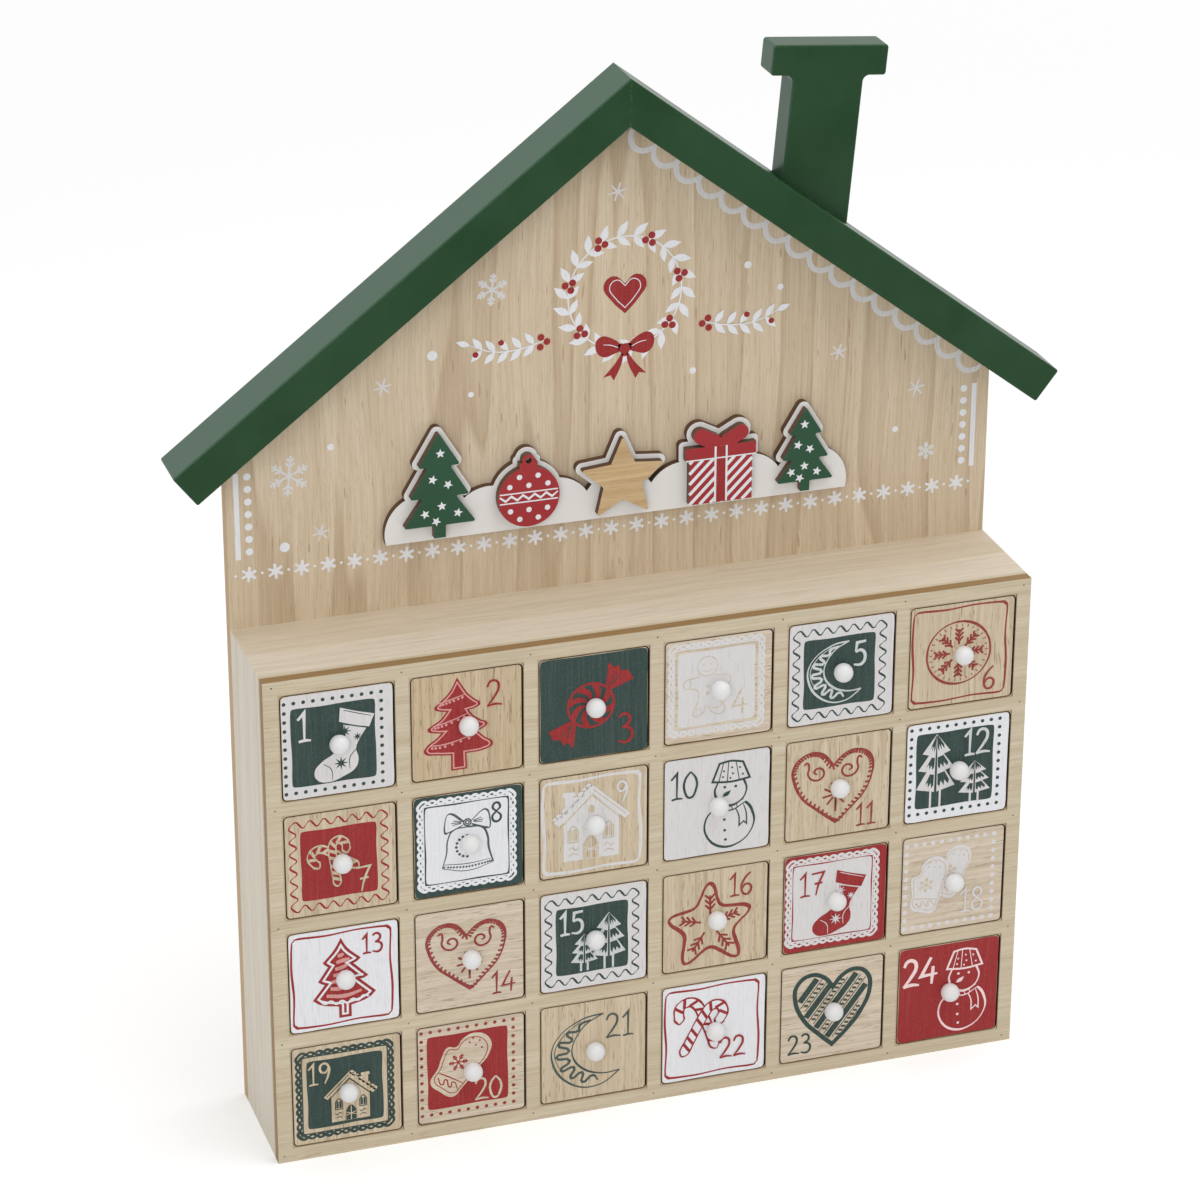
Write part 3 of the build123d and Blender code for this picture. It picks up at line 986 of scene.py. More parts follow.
# Borders, each around the edge of a front
border_half = 18.2
border_dots = 10
border_dot = 0.72
big_border_dot = 0.95
wave_half = 17.4
wave_turns = 13
wave_swing = 1.3
wave_thin_share = 0.3
rope_half = 18.0
rope_turns = 11
rope_swing = 0.85
rope_thin_share = 0.7
rope_line_half = 16.7
rope_line_round = 0.7
frame_line_half = 19.0
frame_line_round = 2.6
frame_line_sway = 0.35


def dot_border(art, ink, radius=border_dot):
    """A dot on each corner, and nine between them along each side."""
    art.dots(ink, radius, *around_square(border_half, border_dots, start_share=0))


def big_dot_border(art, ink):
    """The same border in bigger dots."""
    dot_border(art, ink, big_border_dot)


def wave_border(art, ink):
    """One waving line around the edge."""
    wave = around_square(wave_half, wave_turns, swing=wave_swing)
    pen_line(art, ink, plain, wave, wave_thin_share, closed=True)


def rope_border(art, ink):
    """Two waving lines, twisted about each other, and a thin line inside them."""
    for swing in (-rope_swing, rope_swing):
        strand = around_square(rope_half, rope_turns, swing=swing)
        pen_line(art, ink, bold, strand, rope_thin_share, closed=True)
    art.lines(ink, fine, hand_square(rope_line_half, rope_line_round), closed=True)


def line_border(art, ink, width=firm):
    """One swaying line."""
    line = hand_square(frame_line_half, frame_line_round, frame_line_sway)
    pen_line(art, ink, width, line, closed=True)


def broad_line_border(art, ink):
    """The same line, drawn with a broad brush."""
    line_border(art, ink, broad)


# Figures, each drawn in one or two inks from points in millimetres, X and Z from the middle of its front
def stocking(art, body, detail):
    """A stocking with a turned cuff, a heel, a toe cap and stars."""
    cuff_end = sharp((13.9, 9.6), (11.9, 4.6))
    cuff = [corner(1.1, 13.8), (7.4, 11.5), *cuff_end, (6.2, 6.1), corner(0.6, 8.2)]
    leg = [
        corner(2.2, 7.0), (6.6, 5.4), corner(10.8, 4.3), (8.4, 0.6), (6.8, -3.4), (7.6, -7.6), (6.6, -11.2),
        (2.4, -13.9), (-4.6, -15.7), (-8.0, -14.4), (-9.0, -10.8), (-6.4, -7.4), (-1.4, -4.2), (2.2, 0.6),
    ]
    seams = (
        [(1.0, 6.9), (6.6, 5.8), (11.8, 4.0)],
        [(2.4, 12.6), (7.2, 10.8), (12.8, 8.9)],
        [(-5.6, -8.2), (-2.8, -10.6), (-2.3, -15.0)],
        [(7.4, -3.2), (4.4, -6.8), (4.3, -11.4)],
    )
    stars = ((2.7, 4.0, 2.5), (7.4, 1.2, 1.8), (1.0, -8.7, 2.8))
    art.patch(body, cuff)
    art.patch(body, leg)
    art.over()
    art.lines(detail, hair, *seams)
    for place in stars:
        burst(art, detail, *place)


def inside_line(outline, depth):
    """The line that lies this deep inside an outline, which runs clockwise."""
    found = []
    following = outline[1:] + outline[:1]
    for step, (x, z, *kind) in enumerate(outline):
        here = Vector((x, z))
        before = (here - Vector(outline[step - 1][:2])).normalized()
        after = (Vector(following[step][:2]) - here).normalized()
        inward = Vector((before.y + after.y, -before.x - after.x))
        place = here + inward * depth / (1 + before.dot(after))
        found.append((place.x, place.y, *kind))
    return found


def fir(art, body, light, outline, depth, width):
    """A fir of three broad tiers with a light line inside its edge."""
    art.patch(body, outline)
    art.over()
    art.lines(light, width, inside_line(outline, depth), closed=True)


broad_fir = [
    (-2.4, 17.0), (-1.2, 15.0), (0.6, 12.2), (3.0, 9.8), (5.2, 7.6), (3.6, 6.2), corner(0.8, 5.6),
    (2.2, 3.4), (5.2, 1.0), (7.9, -0.8), (6.6, -2.3), corner(3.9, -3.4), (6.6, -6.2), (9.9, -9.5),
    (7.4, -11.3), *sharp((-0.4, -12.0), (-0.2, -18.4), (-6.3, -18.4), (-6.3, -12.0)), (-11.5, -11.3),
    (-16.6, -9.6), (-15.4, -7.0), (-12.0, -4.6), corner(-9.8, -2.5), (-12.4, -2.1), (-15.2, -0.6),
    (-13.4, 1.0), (-10.0, 3.2), corner(-7.8, 6.0), (-10.4, 6.5), (-12.4, 7.7), (-10.4, 10.0),
    (-6.6, 13.8), corner(-3.6, 19.3),
]
broad_fir_inset = 0.9
fir_garlands = (
    [(-10.8, 9.6), (-6.5, 10.6), (-0.6, 12.2)],
    [(-13.0, 0.6), (-8.0, 1.6), (0.6, 4.4)],
    [(-14.4, -7.2), (-8.5, -7.2), (2.8, -4.6)],
)
garland_teeth = 8
tooth_radius = 0.5
tooth_drop = 0.9


def garlanded_fir(art, body, light):
    """A fir with three toothed garlands."""
    fir(art, body, light, broad_fir, broad_fir_inset, fine)
    for garland in fir_garlands:
        art.lines(light, fine, garland)
        teeth = [(place.x, place.y - tooth_drop) for place, way in sampled(garland, garland_teeth)[1:-1]]
        art.dots(light, tooth_radius, *teeth)


slim_fir = [
    (1.4, 12.4), corner(6.5, 7.3), (4.9, 5.9), *sharp((3.6, 5.4), (9.3, -0.6)), (7.4, -1.6),
    *sharp((6.0, -1.7), (12.1, -7.8)), (9.5, -10.2),
    *sharp((2.5, -12.3), (2.5, -17.2), (-2.3, -17.2), (-2.3, -12.3)), (-9.5, -10.4),
    *sharp((-12.3, -8.2), (-7.5, -2.2)), (-8.8, -1.6), *sharp((-10.1, -0.6), (-6.1, 5.2)), (-7.0, 5.9),
    corner(-8.1, 7.2), (-3.6, 12.2), corner(-1.0, 16.8),
]
slim_fir_inset = 1.5
fir_swags = (
    [(-2.3, 9.3), (-1.2, 9.5), (0.0, 10.0)],
    [(-2.9, 6.6), (-0.4, 7.2), (2.2, 7.6)],
    [(-3.4, 3.8), (-1.0, 4.2), (1.8, 5.4)],
    [(-4.2, 1.2), (-1.4, 1.6), (1.6, 2.8)],
    [(-4.8, -1.5), (-3.0, -1.2), (-1.0, -0.8)],
    [(-5.4, -4.2), (-2.4, -4.6), (0.6, -4.4)],
    [(-7.0, -7.0), (0.0, -8.0), (6.6, -6.6)],
)
swag_width = 1.7
hem_low_x, hem_high_x, hem_z = -9.6, 9.4, -9.2
hem_steps = 9
hem_sag = 1.4
hem_swing = 0.6


def swagged_fir(art, body, light):
    """A fir with broad pink swags and a waving hem."""
    fir(art, body, light, slim_fir, slim_fir_inset, plain)
    art.lines("pink", swag_width, *fir_swags)
    hem = []
    for step in range(hem_steps + 1):
        share = step / hem_steps
        sway = hem_swing * (-1) ** step - hem_sag * sin(pi * share)
        hem.append((hem_low_x + (hem_high_x - hem_low_x) * share, hem_z + sway))
    art.lines(light, plain, hem)


def sweet(art, ink, ground):
    """A round swirled sweet with a twist of wrapper at each end."""
    x, z, reach, edge, knots = -1.2, 0.3, 8.9, 1.0, 12
    arms = 8
    blade_shares = ((1.0, 0.0), (1.0, 0.36), (0.6, 0.78), (0.12, 1.2), (0.55, 0.36))
    wrapper = (
        (4.6, 7.0), (5.6, 17.0), (7.9, 14.4), (9.4, 15.4),
        (10.8, 12.7), (13.2, 12.9), (15.4, 9.0), (6.0, 5.4),
    )
    fold_start = (6.2, 7.4)
    fold_ends = ((8.2, 12.6), (10.4, 11.4))

    def on_side(side, points):
        """These points, or the same ones turned half around the sweet."""
        return [(x + side * (px - x), z + side * (pz - z)) for px, pz in points]

    art.lines(ink, edge, ring(x, z, reach, knots), closed=True)
    for arm in range(arms):
        turn = 2 * pi * arm / arms
        blade = [polar(x, z, share * reach, turn + lean) for share, lean in blade_shares]
        tip, back, belly, root, front = blade
        art.patch(ink, [*sharp(tip, back), belly, corner(*root), front])
    for side in (-1, 1):
        art.patch(ink, sharp(*on_side(side, wrapper)))
    art.over()
    for side in (-1, 1):
        art.lines(ground, hair, *[on_side(side, (fold_start, end)) for end in fold_ends])


def gingerbread(art, ink, ground):
    """A gingerbread figure, drawn as one fine line with icing at its hands and feet."""
    head, head_knots = (-4.5, 9.6, 4.0), 10
    outline = [
        (-1.8, 5.6), (1.6, 5.4), (4.2, 4.6), (4.4, 2.0), (1.4, 1.0), (-0.4, 0.0), (0.4, -5.0),
        (2.6, -8.8), (0.8, -10.8), (-2.8, -9.4), (-4.4, -7.0), (-6.2, -9.4), (-9.4, -10.8), (-9.8, -8.0),
        (-8.2, -4.6), (-8.4, 0.0), (-10.8, 1.0), (-13.6, 1.6), (-13.4, 4.4), (-10.2, 5.2), (-7.2, 5.6),
    ]
    buttons, button_knots = ((-4.4, 1.4, 0.5), (-4.4, -1.6, 0.5)), 6
    icing = (
        [(-6.4, 8.2), (-4.5, 7.4), (-2.6, 8.2)],
        [(-11.8, 1.4), (-11.2, 3.2), (-11.8, 5.0)],
        [(-9.2, -7.2), (-7.4, -8.0), (-6.2, -7.4)],
        [(-2.6, -7.6), (-1.0, -8.2), (1.4, -7.2)],
    )
    eyes, eye = ((-5.9, 10.4), (-3.1, 10.4)), 0.35
    art.lines(ink, hair, ring(*head, head_knots), closed=True)
    art.lines(ink, hair, outline)
    art.lines(ink, hair, *[ring(*button, button_knots) for button in buttons], closed=True)
    art.lines(ink, hair, *icing)
    art.dots(ink, eye, *eyes)


def moon(art, ink, ground):
    """A crescent with a curling line along its middle."""
    high, low = (2.9, 11.8), (8.1, -8.7)
    outer = [high, (-3.5, 11.0), (-10.4, 7.0), (-13.6, 0.6), (-11.2, -7.4), (-4.6, -12.6), (2.4, -12.6), low]
    inner = [high, (-3.0, 8.6), (-6.8, 2.4), (-6.3, -3.0), (-2.4, -7.2), (3.0, -9.0), low]
    curl = [
        (-1.0, 10.2), (-4.6, 9.0), (-5.0, 7.2), (-8.6, 6.6), (-7.0, 4.0), (-11.4, 3.4), (-8.0, 0.6),
        (-12.0, -1.0), (-7.8, -2.8), (-10.6, -5.8), (-6.4, -5.4), (-7.4, -9.0), (-3.8, -7.6),
        (-3.8, -11.0), (-0.4, -9.2), (1.2, -11.2),
    ]
    shade = [(-4.2, 10.2), (-10.0, 5.8), (-12.6, 0.4), (-10.4, -6.6)]
    for edge in (outer, inner):
        pen_line(art, ink, plain, edge)
    art.lines(ink, firm, curl)
    art.lines(ink, hair, shade)


sprig_fork_shares = (0.5, 0.68, 0.86)
sprig_leaf_share = 0.24
sprig_lean = 0.75


def sprig(art, ink, x, z, reach, turn, start_share):
    """A straight stem with three pairs of short leaves."""
    strokes = [[polar(x, z, start_share * reach, turn), polar(x, z, reach, turn)]]
    for share in sprig_fork_shares:
        fork = polar(x, z, share * reach, turn)
        for side in (-1, 1):
            strokes.append([fork, polar(*fork, sprig_leaf_share * reach, turn + side * sprig_lean)])
    art.lines(ink, plain, *strokes)


def biscuit(art, ink, ground):
    """A round biscuit with eight sprigs and a ring of short marks."""
    x, z, reach, knots = -1.3, 0.4, 13.0, 14
    sprigs, sprig_reach, sprig_start_share = 8, 9.8, 0.36
    marks, mark_start, mark_end = 30, 10.8, 12.0
    pen_line(art, ink, firm, ring(x, z, reach, knots), closed=True)
    for step in range(sprigs):
        sprig(art, ink, x, z, sprig_reach, 2 * pi * step / sprigs, sprig_start_share)
    turns = [2 * pi * (step + 0.5) / marks for step in range(marks)]
    art.lines(ink, hair, *[[polar(x, z, mark_start, turn), polar(x, z, mark_end, turn)] for turn in turns])


stride_samples = 80


def evenly(path, stride):
    """Places at even strides along a smooth path, each with the direction there."""
    found, since = [], 0
    course = sampled(path, stride_samples)
    for (before, way_before), (place, way) in zip(course, course[1:]):
        since += (place - before).length
        if since > stride:
            found.append((place, way))
            since -= stride
    return found


cane_half = 1.9
cane_knots = 18
cane_stride = 3.9
cane_lean = 1.0
cane_thin_share = 0.6
cane_paths = (
    [(-14.2, 6.4), (-14.2, 11.4), (-10.6, 13.6), (-6.8, 11.6), (-3.4, 4.0), (0.4, -7.0)],
    [(2.0, 3.4), (3.8, 7.0), (2.4, 10.4), (-1.0, 10.6), (-4.6, 6.2), (-12.2, -8.4)],
)


def canes(art, ink, ground):
    """Two crossed sticks, striped and bent over at their tops."""
    for path in cane_paths:
        course = sampled(path, cane_knots)
        sides = []
        for side in (-cane_half, cane_half):
            sides.append([(place.x - side * way.y, place.y + side * way.x) for place, way in course])
        (first, first_way), (last, last_way) = course[0], course[-1]
        start = tuple(first + first_way * -cane_half)
        end = tuple(last + last_way * cane_half)
        outline = [start, *sides[0], end, *sides[1][::-1]]
        art.patch(ground, outline)
        art.over()
        pen_line(art, ink, plain, outline, cane_thin_share, closed=True)
        for place, way in evenly(path, cane_stride):
            across = Vector((-way.y, way.x)) * cane_half + way * cane_lean
            art.lines(ink, bold, [tuple(place - across), tuple(place + across)])
        art.over()


def bell(art, ink, ground):
    """A bell with a beaded rim, a wreath of dots and a bow on top."""
    middle = -0.4
    flank = [(0.0, 6.4), (5.6, 5.6), (7.7, 1.8), (8.2, -3.6), (9.9, -9.6)]
    loop = [(1.6, 8.8), (6.0, 12.6), (8.2, 11.4), (8.8, 5.4), (6.8, 5.2), (1.6, 7.4)]
    loop_thin_share = 0.4
    folds = ([(2.4, 8.8), (5.4, 9.6)], [(2.4, 8.2), (5.8, 7.8)], [(2.4, 8.5), (6.2, 8.7)])
    knot_z, knot_radius = 8.3, 1.4
    rims = ([(-9.2, -8.2), (0.0, -9.0), (9.2, -8.2)], [(-9.9, -9.8), (0.0, -12.0), (9.9, -9.8)])
    beads, bead, bead_drop, bead_lift_share = 17, 0.42, 1.3, 0.02
    dots, dot, dots_z, dots_reach = 9, 0.55, -1.6, 4.4
    dots_start_share, dots_sweep_share = 0.95, 1.1
    art.at(middle)
    for side, width in ((-1, fine), (1, plain)):
        art.lines(ink, width, mirrored(side, flank))
        pen_line(art, ink, plain, mirrored(side, loop), loop_thin_share)
        art.lines(ink, hair, *[mirrored(side, fold) for fold in folds])
    art.lines(ink, fine, ring(0, knot_z, knot_radius), ring(0, knot_z, knot_radius / 2), closed=True)
    art.lines(ink, hair, *rims)
    bead_places = []
    for place, way in sampled(rims[0], beads):
        bead_places.append((place.x, place.y - bead_drop + bead_lift_share * abs(place.x)))
    art.dots(ink, bead, *bead_places)
    turns = [pi * (dots_start_share + dots_sweep_share * (step + 0.5) / dots) for step in range(dots)]
    art.dots(ink, dot, *[polar(0, dots_z, dots_reach, turn) for turn in turns])


walls = sharp((-12.0, -14.8), (10.0, -14.9), (10.0, 2.4), (-0.8, 12.4), (-12.0, 2.6))
stack = sharp(
    (-11.4, 5.0), (-11.4, 12.4), (-12.4, 12.6), (-12.0, 14.4),
    (-7.4, 14.2), (-7.2, 12.6), (-8.0, 12.4), (-8.0, 8.0),
)
left_slope = sharp((-15.9, 2.4), (-0.7, 16.4), (-0.7, 12.6), (-13.9, 0.4))
right_slope = sharp((-0.7, 16.4), (14.4, 2.0), (12.2, 0.2), (-0.7, 12.6))
eaves_line = sharp((-13.4, -0.4), (-0.7, 11.8), (11.8, -0.4))
plank_line = sharp((-0.2, 14.2), (12.7, 2.0))
snow_line = [(-15.2, 3.2), (-8.0, 9.9), (-2.0, 15.6)]
snow_heaps = 7
snow_heap = 1.3
window_xs = (-8.2, 5.8)
arch = [*sharp((-2.0, -7.0), (-2.0, -2.4)), (0, -0.2), *sharp((2.0, -2.4), (2.0, -7.0))]
pane = [*sharp((-0.7, -6.2), (-0.7, -2.6)), (-0.1, -1.6), *sharp((0.5, -2.6), (0.5, -6.2))]
pane_steps = (-0.75, 0.95)
scrolls = (
    [(-1.8, -10.0), (-0.4, -9.2), (1.0, -10.4), (2.2, -9.4)],
    [(-1.8, -12.6), (0.2, -11.8), (2.2, -12.8)],
)
gable_window = [corner(-2.0, 4.8), (-2.0, 6.8), (-1.0, 7.8), (0.0, 6.8), corner(0.0, 4.8)]
door = [*sharp((-4.2, -14.6), (-4.2, -8.4)), (-1.2, -5.2), *sharp((1.8, -8.4), (1.8, -14.6))]
door_bars = (
    sharp((-1.2, -14.6), (-1.2, -5.8)),
    sharp((-4.0, -9.6), (1.6, -11.6)),
    sharp((-4.0, -11.6), (1.6, -9.6)),
)


def cottage(art, body, detail):
    """A gabled cottage with snow on its roof, two arched windows, a door and a chimney."""
    shift = art.motif.copy()
    art.patch(body, walls)
    art.patch(body, stack)
    art.over()
    art.lines(detail, fine, eaves_line)
    art.over()
    for slope in (left_slope, right_slope):
        art.patch(body, slope)
    art.dots(body, snow_heap, *[tuple(place) for place, way in sampled(snow_line, snow_heaps)])
    art.over()
    art.lines(detail, hair, plank_line)
    art.patch(detail, door)
    art.patch(detail, gable_window)
    for x in window_xs:
        art.motif = shift @ Matrix.Translation((x, 0, 0))
        art.lines(detail, hair, arch, closed=True)
        art.lines(detail, hair, *scrolls)
        for step in pane_steps:
            art.motif = shift @ Matrix.Translation((x + step, 0, 0))
            art.patch(detail, pane)
    art.motif = shift
    art.over()
    art.lines(body, hair, *door_bars)


def snowman(art, ink, ground):
    """A snowman in a knitted hat and a scarf, drawn in line."""
    hat = [corner(0.8, 17.0), (5.4, 17.6), *sharp((10.2, 16.6), (13.0, 9.6)), (5.6, 8.8), corner(-2.0, 9.6)]
    ribs = ([(4.4, 17.2), (4.0, 9.2)], [(7.4, 17.2), (8.8, 9.2)], [(2.4, 17.0), (0.6, 9.4)])
    knit = ((2.6, 13.6), (2.2, 11.2), (5.8, 14.8), (6.2, 12.2), (5.2, 10.4), (9.0, 14.4), (10.2, 11.4))
    knit_dot, coal = 0.4, 0.55
    head = [(0.2, 8.9), (-1.0, 5.2), (0.8, 0.9), (5.4, -1.2), (10.0, 0.8), (11.8, 5.0), (10.6, 8.9)]
    eyes = ((3.0, 6.8), (7.4, 6.6))
    carrot = [corner(5.4, 5.2), (2.6, 4.0), corner(2.2, 2.8), (4.4, 3.2)]
    belly = [
        (-0.8, -1.6), (-4.2, -5.4), (-4.8, -11.0), (-1.4, -16.6), (4.8, -18.8),
        (11.6, -16.0), (15.0, -9.6), (13.6, -3.4), (11.4, -0.6),
    ]
    scarf = ([(-0.4, -1.0), (5.2, -3.4), (11.6, -0.4)], [(0.4, 0.6), (5.4, -1.6), (10.6, 0.8)])
    fringe = sharp((9.0, -10.4), (10.8, -8.8), (12.0, -10.0))
    scarf_end = [corner(7.4, -2.6), (8.8, -6.0), *fringe, (11.8, -5.4), corner(10.6, -1.4)]
    stripe_tops = ((1.6, -0.3), (3.6, -1.3), (5.8, -1.5), (7.8, -0.9))
    stripe_lean, stripe_drop = 0.4, 1.7
    buttons = ((3.0, -7.0), (3.2, -11.6), (3.6, -15.6))
    art.lines(ink, plain, hat, closed=True)
    art.lines(ink, hair, *ribs)
    art.dots(ink, knit_dot, *knit)
    pen_line(art, ink, firm, head)
    art.dots(ink, coal, *eyes)
    art.patch(ink, carrot)
    pen_line(art, ink, firm, belly)
    art.lines(ink, fine, *scarf, scarf_end)
    art.lines(ink, hair, *[[(x, z), (x + stripe_lean, z - stripe_drop)] for x, z in stripe_tops])
    art.dots(ink, coal, *buttons)


def lace_heart(art, ink, ground):
    """A heart with a stitched edge, two scrolls and a sprig."""
    left_half = [
        (-2.2, 9.0), (-6.4, 14.2), (-11.4, 15.6), (-16.6, 13.0), (-18.6, 7.4), (-15.0, -2.6), (-7.6, -9.6),
    ]
    right_half = [
        (-0.4, -15.4), (5.4, -9.8), (11.4, -3.0), (14.2, 6.6), (12.0, 12.6), (6.4, 14.8), (1.6, 13.0),
    ]
    stitch_count, stitch_length, stitch_lean = 66, 1.6, 0.6
    scroll = [
        (-14.0, 10.8), (-12.8, 11.6), (-12.0, 9.6), (-12.4, 6.6), (-10.2, 4.0), (-6.8, 4.4), (-6.0, 7.2),
        (-8.2, 8.8), (-9.9, 7.2), (-8.6, 6.2),
    ]
    scrolls_apart = -4.4
    flower, stem_foot = (-0.9, -3.2), (-0.9, -10.6)
    rays, ray_start, ray_end = 9, 1.6, 5.4
    for half in (left_half + right_half[:1], right_half + left_half[:1]):
        pen_line(art, ink, bold, half)
    stitches = []
    for place, way in sampled(left_half + right_half, stitch_count, closed=True):
        x = place.x - stitch_length * way.y - stitch_lean * way.x
        z = place.y + stitch_length * way.x - stitch_lean * way.y
        stitches.append([tuple(place), (x, z)])
    art.lines(ink, plain, *stitches)
    art.lines(ink, plain, scroll, [(scrolls_apart - x, z) for x, z in scroll])
    turns = [(2 * step + 1) * pi / rays for step in range(rays)]
    ray_lines = [[polar(*flower, reach, turn) for reach in (ray_start, ray_end)] for turn in turns]
    art.lines(ink, plain, *ray_lines, [flower, stem_foot])


# Shares of a pine's height and half width, and of the way across and up each half of a tier
pine_tier_shares = ((0.75, 0.72), (0.525, 0.92), (0.27, 1.0))
pine_spring_share = 0.5
pine_trunk_share = 0.2
pine_gap_share = 0.06
pine_sag_share = 0.06
lit_shares = (
    (0.08, 0.92), (0.08, 0.36), (0.18, 0.18), (0.28, 0.46),
    (0.40, 0.20), (0.50, 0.48), (0.62, 0.30), (0.52, 0.92),
)
dim_shares = (
    (0.06, 0.94), (0.06, 0.38), (0.18, 0.20), (0.30, 0.52), (0.44, 0.20),
    (0.57, 0.50), (0.70, 0.22), (0.87, 0.40), (0.85, 0.94),
)


def pine(art, ink, ground, x, foot, height, half):
    """A pine of three tiers in two halves: snowy patches with dark needles in them, the left one lit."""
    dark_patches = []
    for side, needle_shares in ((-1, lit_shares), (1, dim_shares)):
        inner = outer = Vector((x, foot + height))
        for low_share, half_share in pine_tier_shares:
            reach = side * half_share * half
            low = foot + low_share * height
            tip = Vector((x + reach, low))
            root = Vector((x + pine_gap_share * reach, low - pine_sag_share * height))
            ends = sharp(inner, outer, tip, root)
            art.patch(ink, list(dict.fromkeys(ends)))
            needles = []
            for across, up in needle_shares:
                needles.append(root.lerp(tip, across).lerp(inner.lerp(outer, across), up))
            dark_patches.append(sharp(*needles))
            inner, outer = root, root.lerp(tip, pine_spring_share)
        trunk_top = root.lerp(tip, pine_trunk_share)
        art.lines(ink, plain, sharp((trunk_top.x, foot), trunk_top))
    art.over()
    for needles in dark_patches:
        art.patch(ground, needles)
    art.over()


big_left_pines = ((-8.8, -15.4, 31.4, 8.0), (7.4, -15.4, 17.6, 6.6))
big_right_pines = ((6.0, -14.2, 24.2, 6.8), (-3.8, -13.8, 16.0, 5.4))


def big_and_small_pine(art, body, ground):
    """A tall pine on the left and a small one on the right."""
    for place in big_left_pines:
        pine(art, body, ground, *place)


def small_and_big_pine(art, body, ground):
    """A small pine on the left and a tall one on the right."""
    for place in big_right_pines:
        pine(art, body, ground, *place)


def star(art, ink, ground):
    """A five-pointed star with rounded tips and a sprig along each arm."""
    x, z = -2.0, -2.0
    tips = [(-2.4, 15.4), (13.8, 2.6), (9.2, -18.0), (-12.4, -18.0), (-18.8, 2.0)]
    dips = [(2.2, 5.6), (7.6, -6.0), (-2.0, -12.4), (-12.6, -5.6), (-8.2, 5.8)]
    swell_share, swell_half, thin_share = 0.24, 0.9, 0.6
    sprig_share, sprig_start_share = 0.7, 0.32
    outline = []
    for tip, before, after in zip(tips, dips[-1:] + dips[:-1], dips):
        reach = hypot(tip[0] - x, tip[1] - z)
        turn = atan2(tip[0] - x, tip[1] - z)
        swell = []
        for side, dip in ((-1, before), (1, after)):
            place = Vector(tip).lerp(Vector(dip), swell_share)
            swell.append(polar(*place, side * swell_half, turn + pi / 2))
        outline += [swell[0], tip, swell[1], after]
        sprig(art, ink, x, z, sprig_share * reach, turn, sprig_start_share)
    pen_line(art, ink, broad, outline, thin_share, closed=True)


def drawn_in(points, middle, share):
    """The same points, drawn in towards a middle."""
    return [middle + (Vector(point) - middle) * share for point in points]


def mitten(art, body, detail):
    """A mitten with a cuff, a flake and a stitched edge."""
    outline = [
        (-16.4, -3.2), (-12.6, -7.8), (-7.6, -10.8), (-4.0, -7.6), (2.4, 0.0), (7.0, 5.6), (7.8, 11.4),
        (2.6, 15.8), (-3.4, 14.0), (-5.8, 10.8), (-9.4, 11.2), (-11.6, 7.6), (-13.4, 2.4),
    ]
    middle, edge_share = Vector((-4.0, 2.5)), 0.87
    cuff_line = [(-13.0, 0.6), (-8.6, -2.0), (-3.4, -5.6)]
    cuff = [(-13.4, -1.4), (-11.6, -4.8), (-10.4, -2.6), (-8.6, -6.4), (-7.6, -4.2), (-5.6, -8.0)]
    flake, flake_width, flake_turn = (-5.2, 4.0, 3.8), 0.5, 0.5
    spots, spot = ((-0.6, 12.0), (1.8, 10.4), (4.2, 9.0), (0.8, 13.6), (3.4, 12.2)), 0.4
    art.patch(body, outline)
    art.over()
    art.lines(detail, hair, drawn_in(outline, middle, edge_share), closed=True)
    art.lines(detail, fine, cuff_line, cuff)
    snowflake(art, detail, *flake, flake_width, turn=flake_turn)
    art.dots(detail, spot, *spots)


under_mitten = (3.4, 2.6, 0.8, 0.3)
upper_mitten = (-5.6, -1.6, 0.86, 0.42)


def mittens(art, body, detail):
    """A pair of mittens, one over the other."""
    art.at(*under_mitten)
    mitten(art, body, detail)
    art.over()
    art.at(*upper_mitten)
    mitten(art, body, detail)


def striped_heart(art, ink, ground):
    """A broad heart filled with slanting plain and patterned stripes."""
    left_half = [
        (0.2, 10.0), (-3.6, 14.8), (-9.4, 16.6), (-14.4, 13.4), (-15.6, 7.6), (-11.6, -3.2), (-5.4, -10.2),
    ]
    right_half = [
        (0.4, -15.8), (6.2, -10.2), (11.8, -3.2), (15.8, 7.8), (14.2, 14.0), (9.4, 16.6), (4.0, 14.6),
    ]
    edge, middle, inner_share = 1.8, Vector((0.1, 1.5)), 0.91
    slant = Vector((0.6, 0.8))
    across = Vector((slant.y, -slant.x))
    first_stripe, last_stripe, pitch, stripe = -4, 4, 3.3, 2.5
    rails, rung_pitch = (-1.25, 1.25), 1.9
    rung_half, rung_rise = 0.75, 0.4
    outline = []
    for half in (left_half, right_half):
        outline += [corner(*half[0]), *half[1:]]
    art.lines(ink, edge, outline, closed=True)
    inner = drawn_in(left_half + right_half, middle, inner_share)
    for step in range(first_stripe, last_stripe + 1):
        start = middle + across * step * pitch
        cuts = []
        for first, second in zip(inner, inner[1:] + inner[:1]):
            before, after = (first - start).dot(across), (second - start).dot(across)
            if before * after < 0:
                cuts.append(first.lerp(second, before / (before - after)))
        if len(cuts) < 2:
            continue
        low, high = min(cuts, key=slant.dot), max(cuts, key=slant.dot)
        if step % 2 == 0:
            art.lines(ink, stripe, sharp(low, high))
            continue
        for rail in rails:
            art.lines(ink, hair, sharp(low + across * rail, high + across * rail))
        rungs = int((high - low).length / rung_pitch)
        rise = across * rung_half + slant * rung_rise
        for rung in range(1, rungs):
            place = low.lerp(high, rung / rungs)
            art.lines(ink, plain, [tuple(place - rise), tuple(place + rise)])


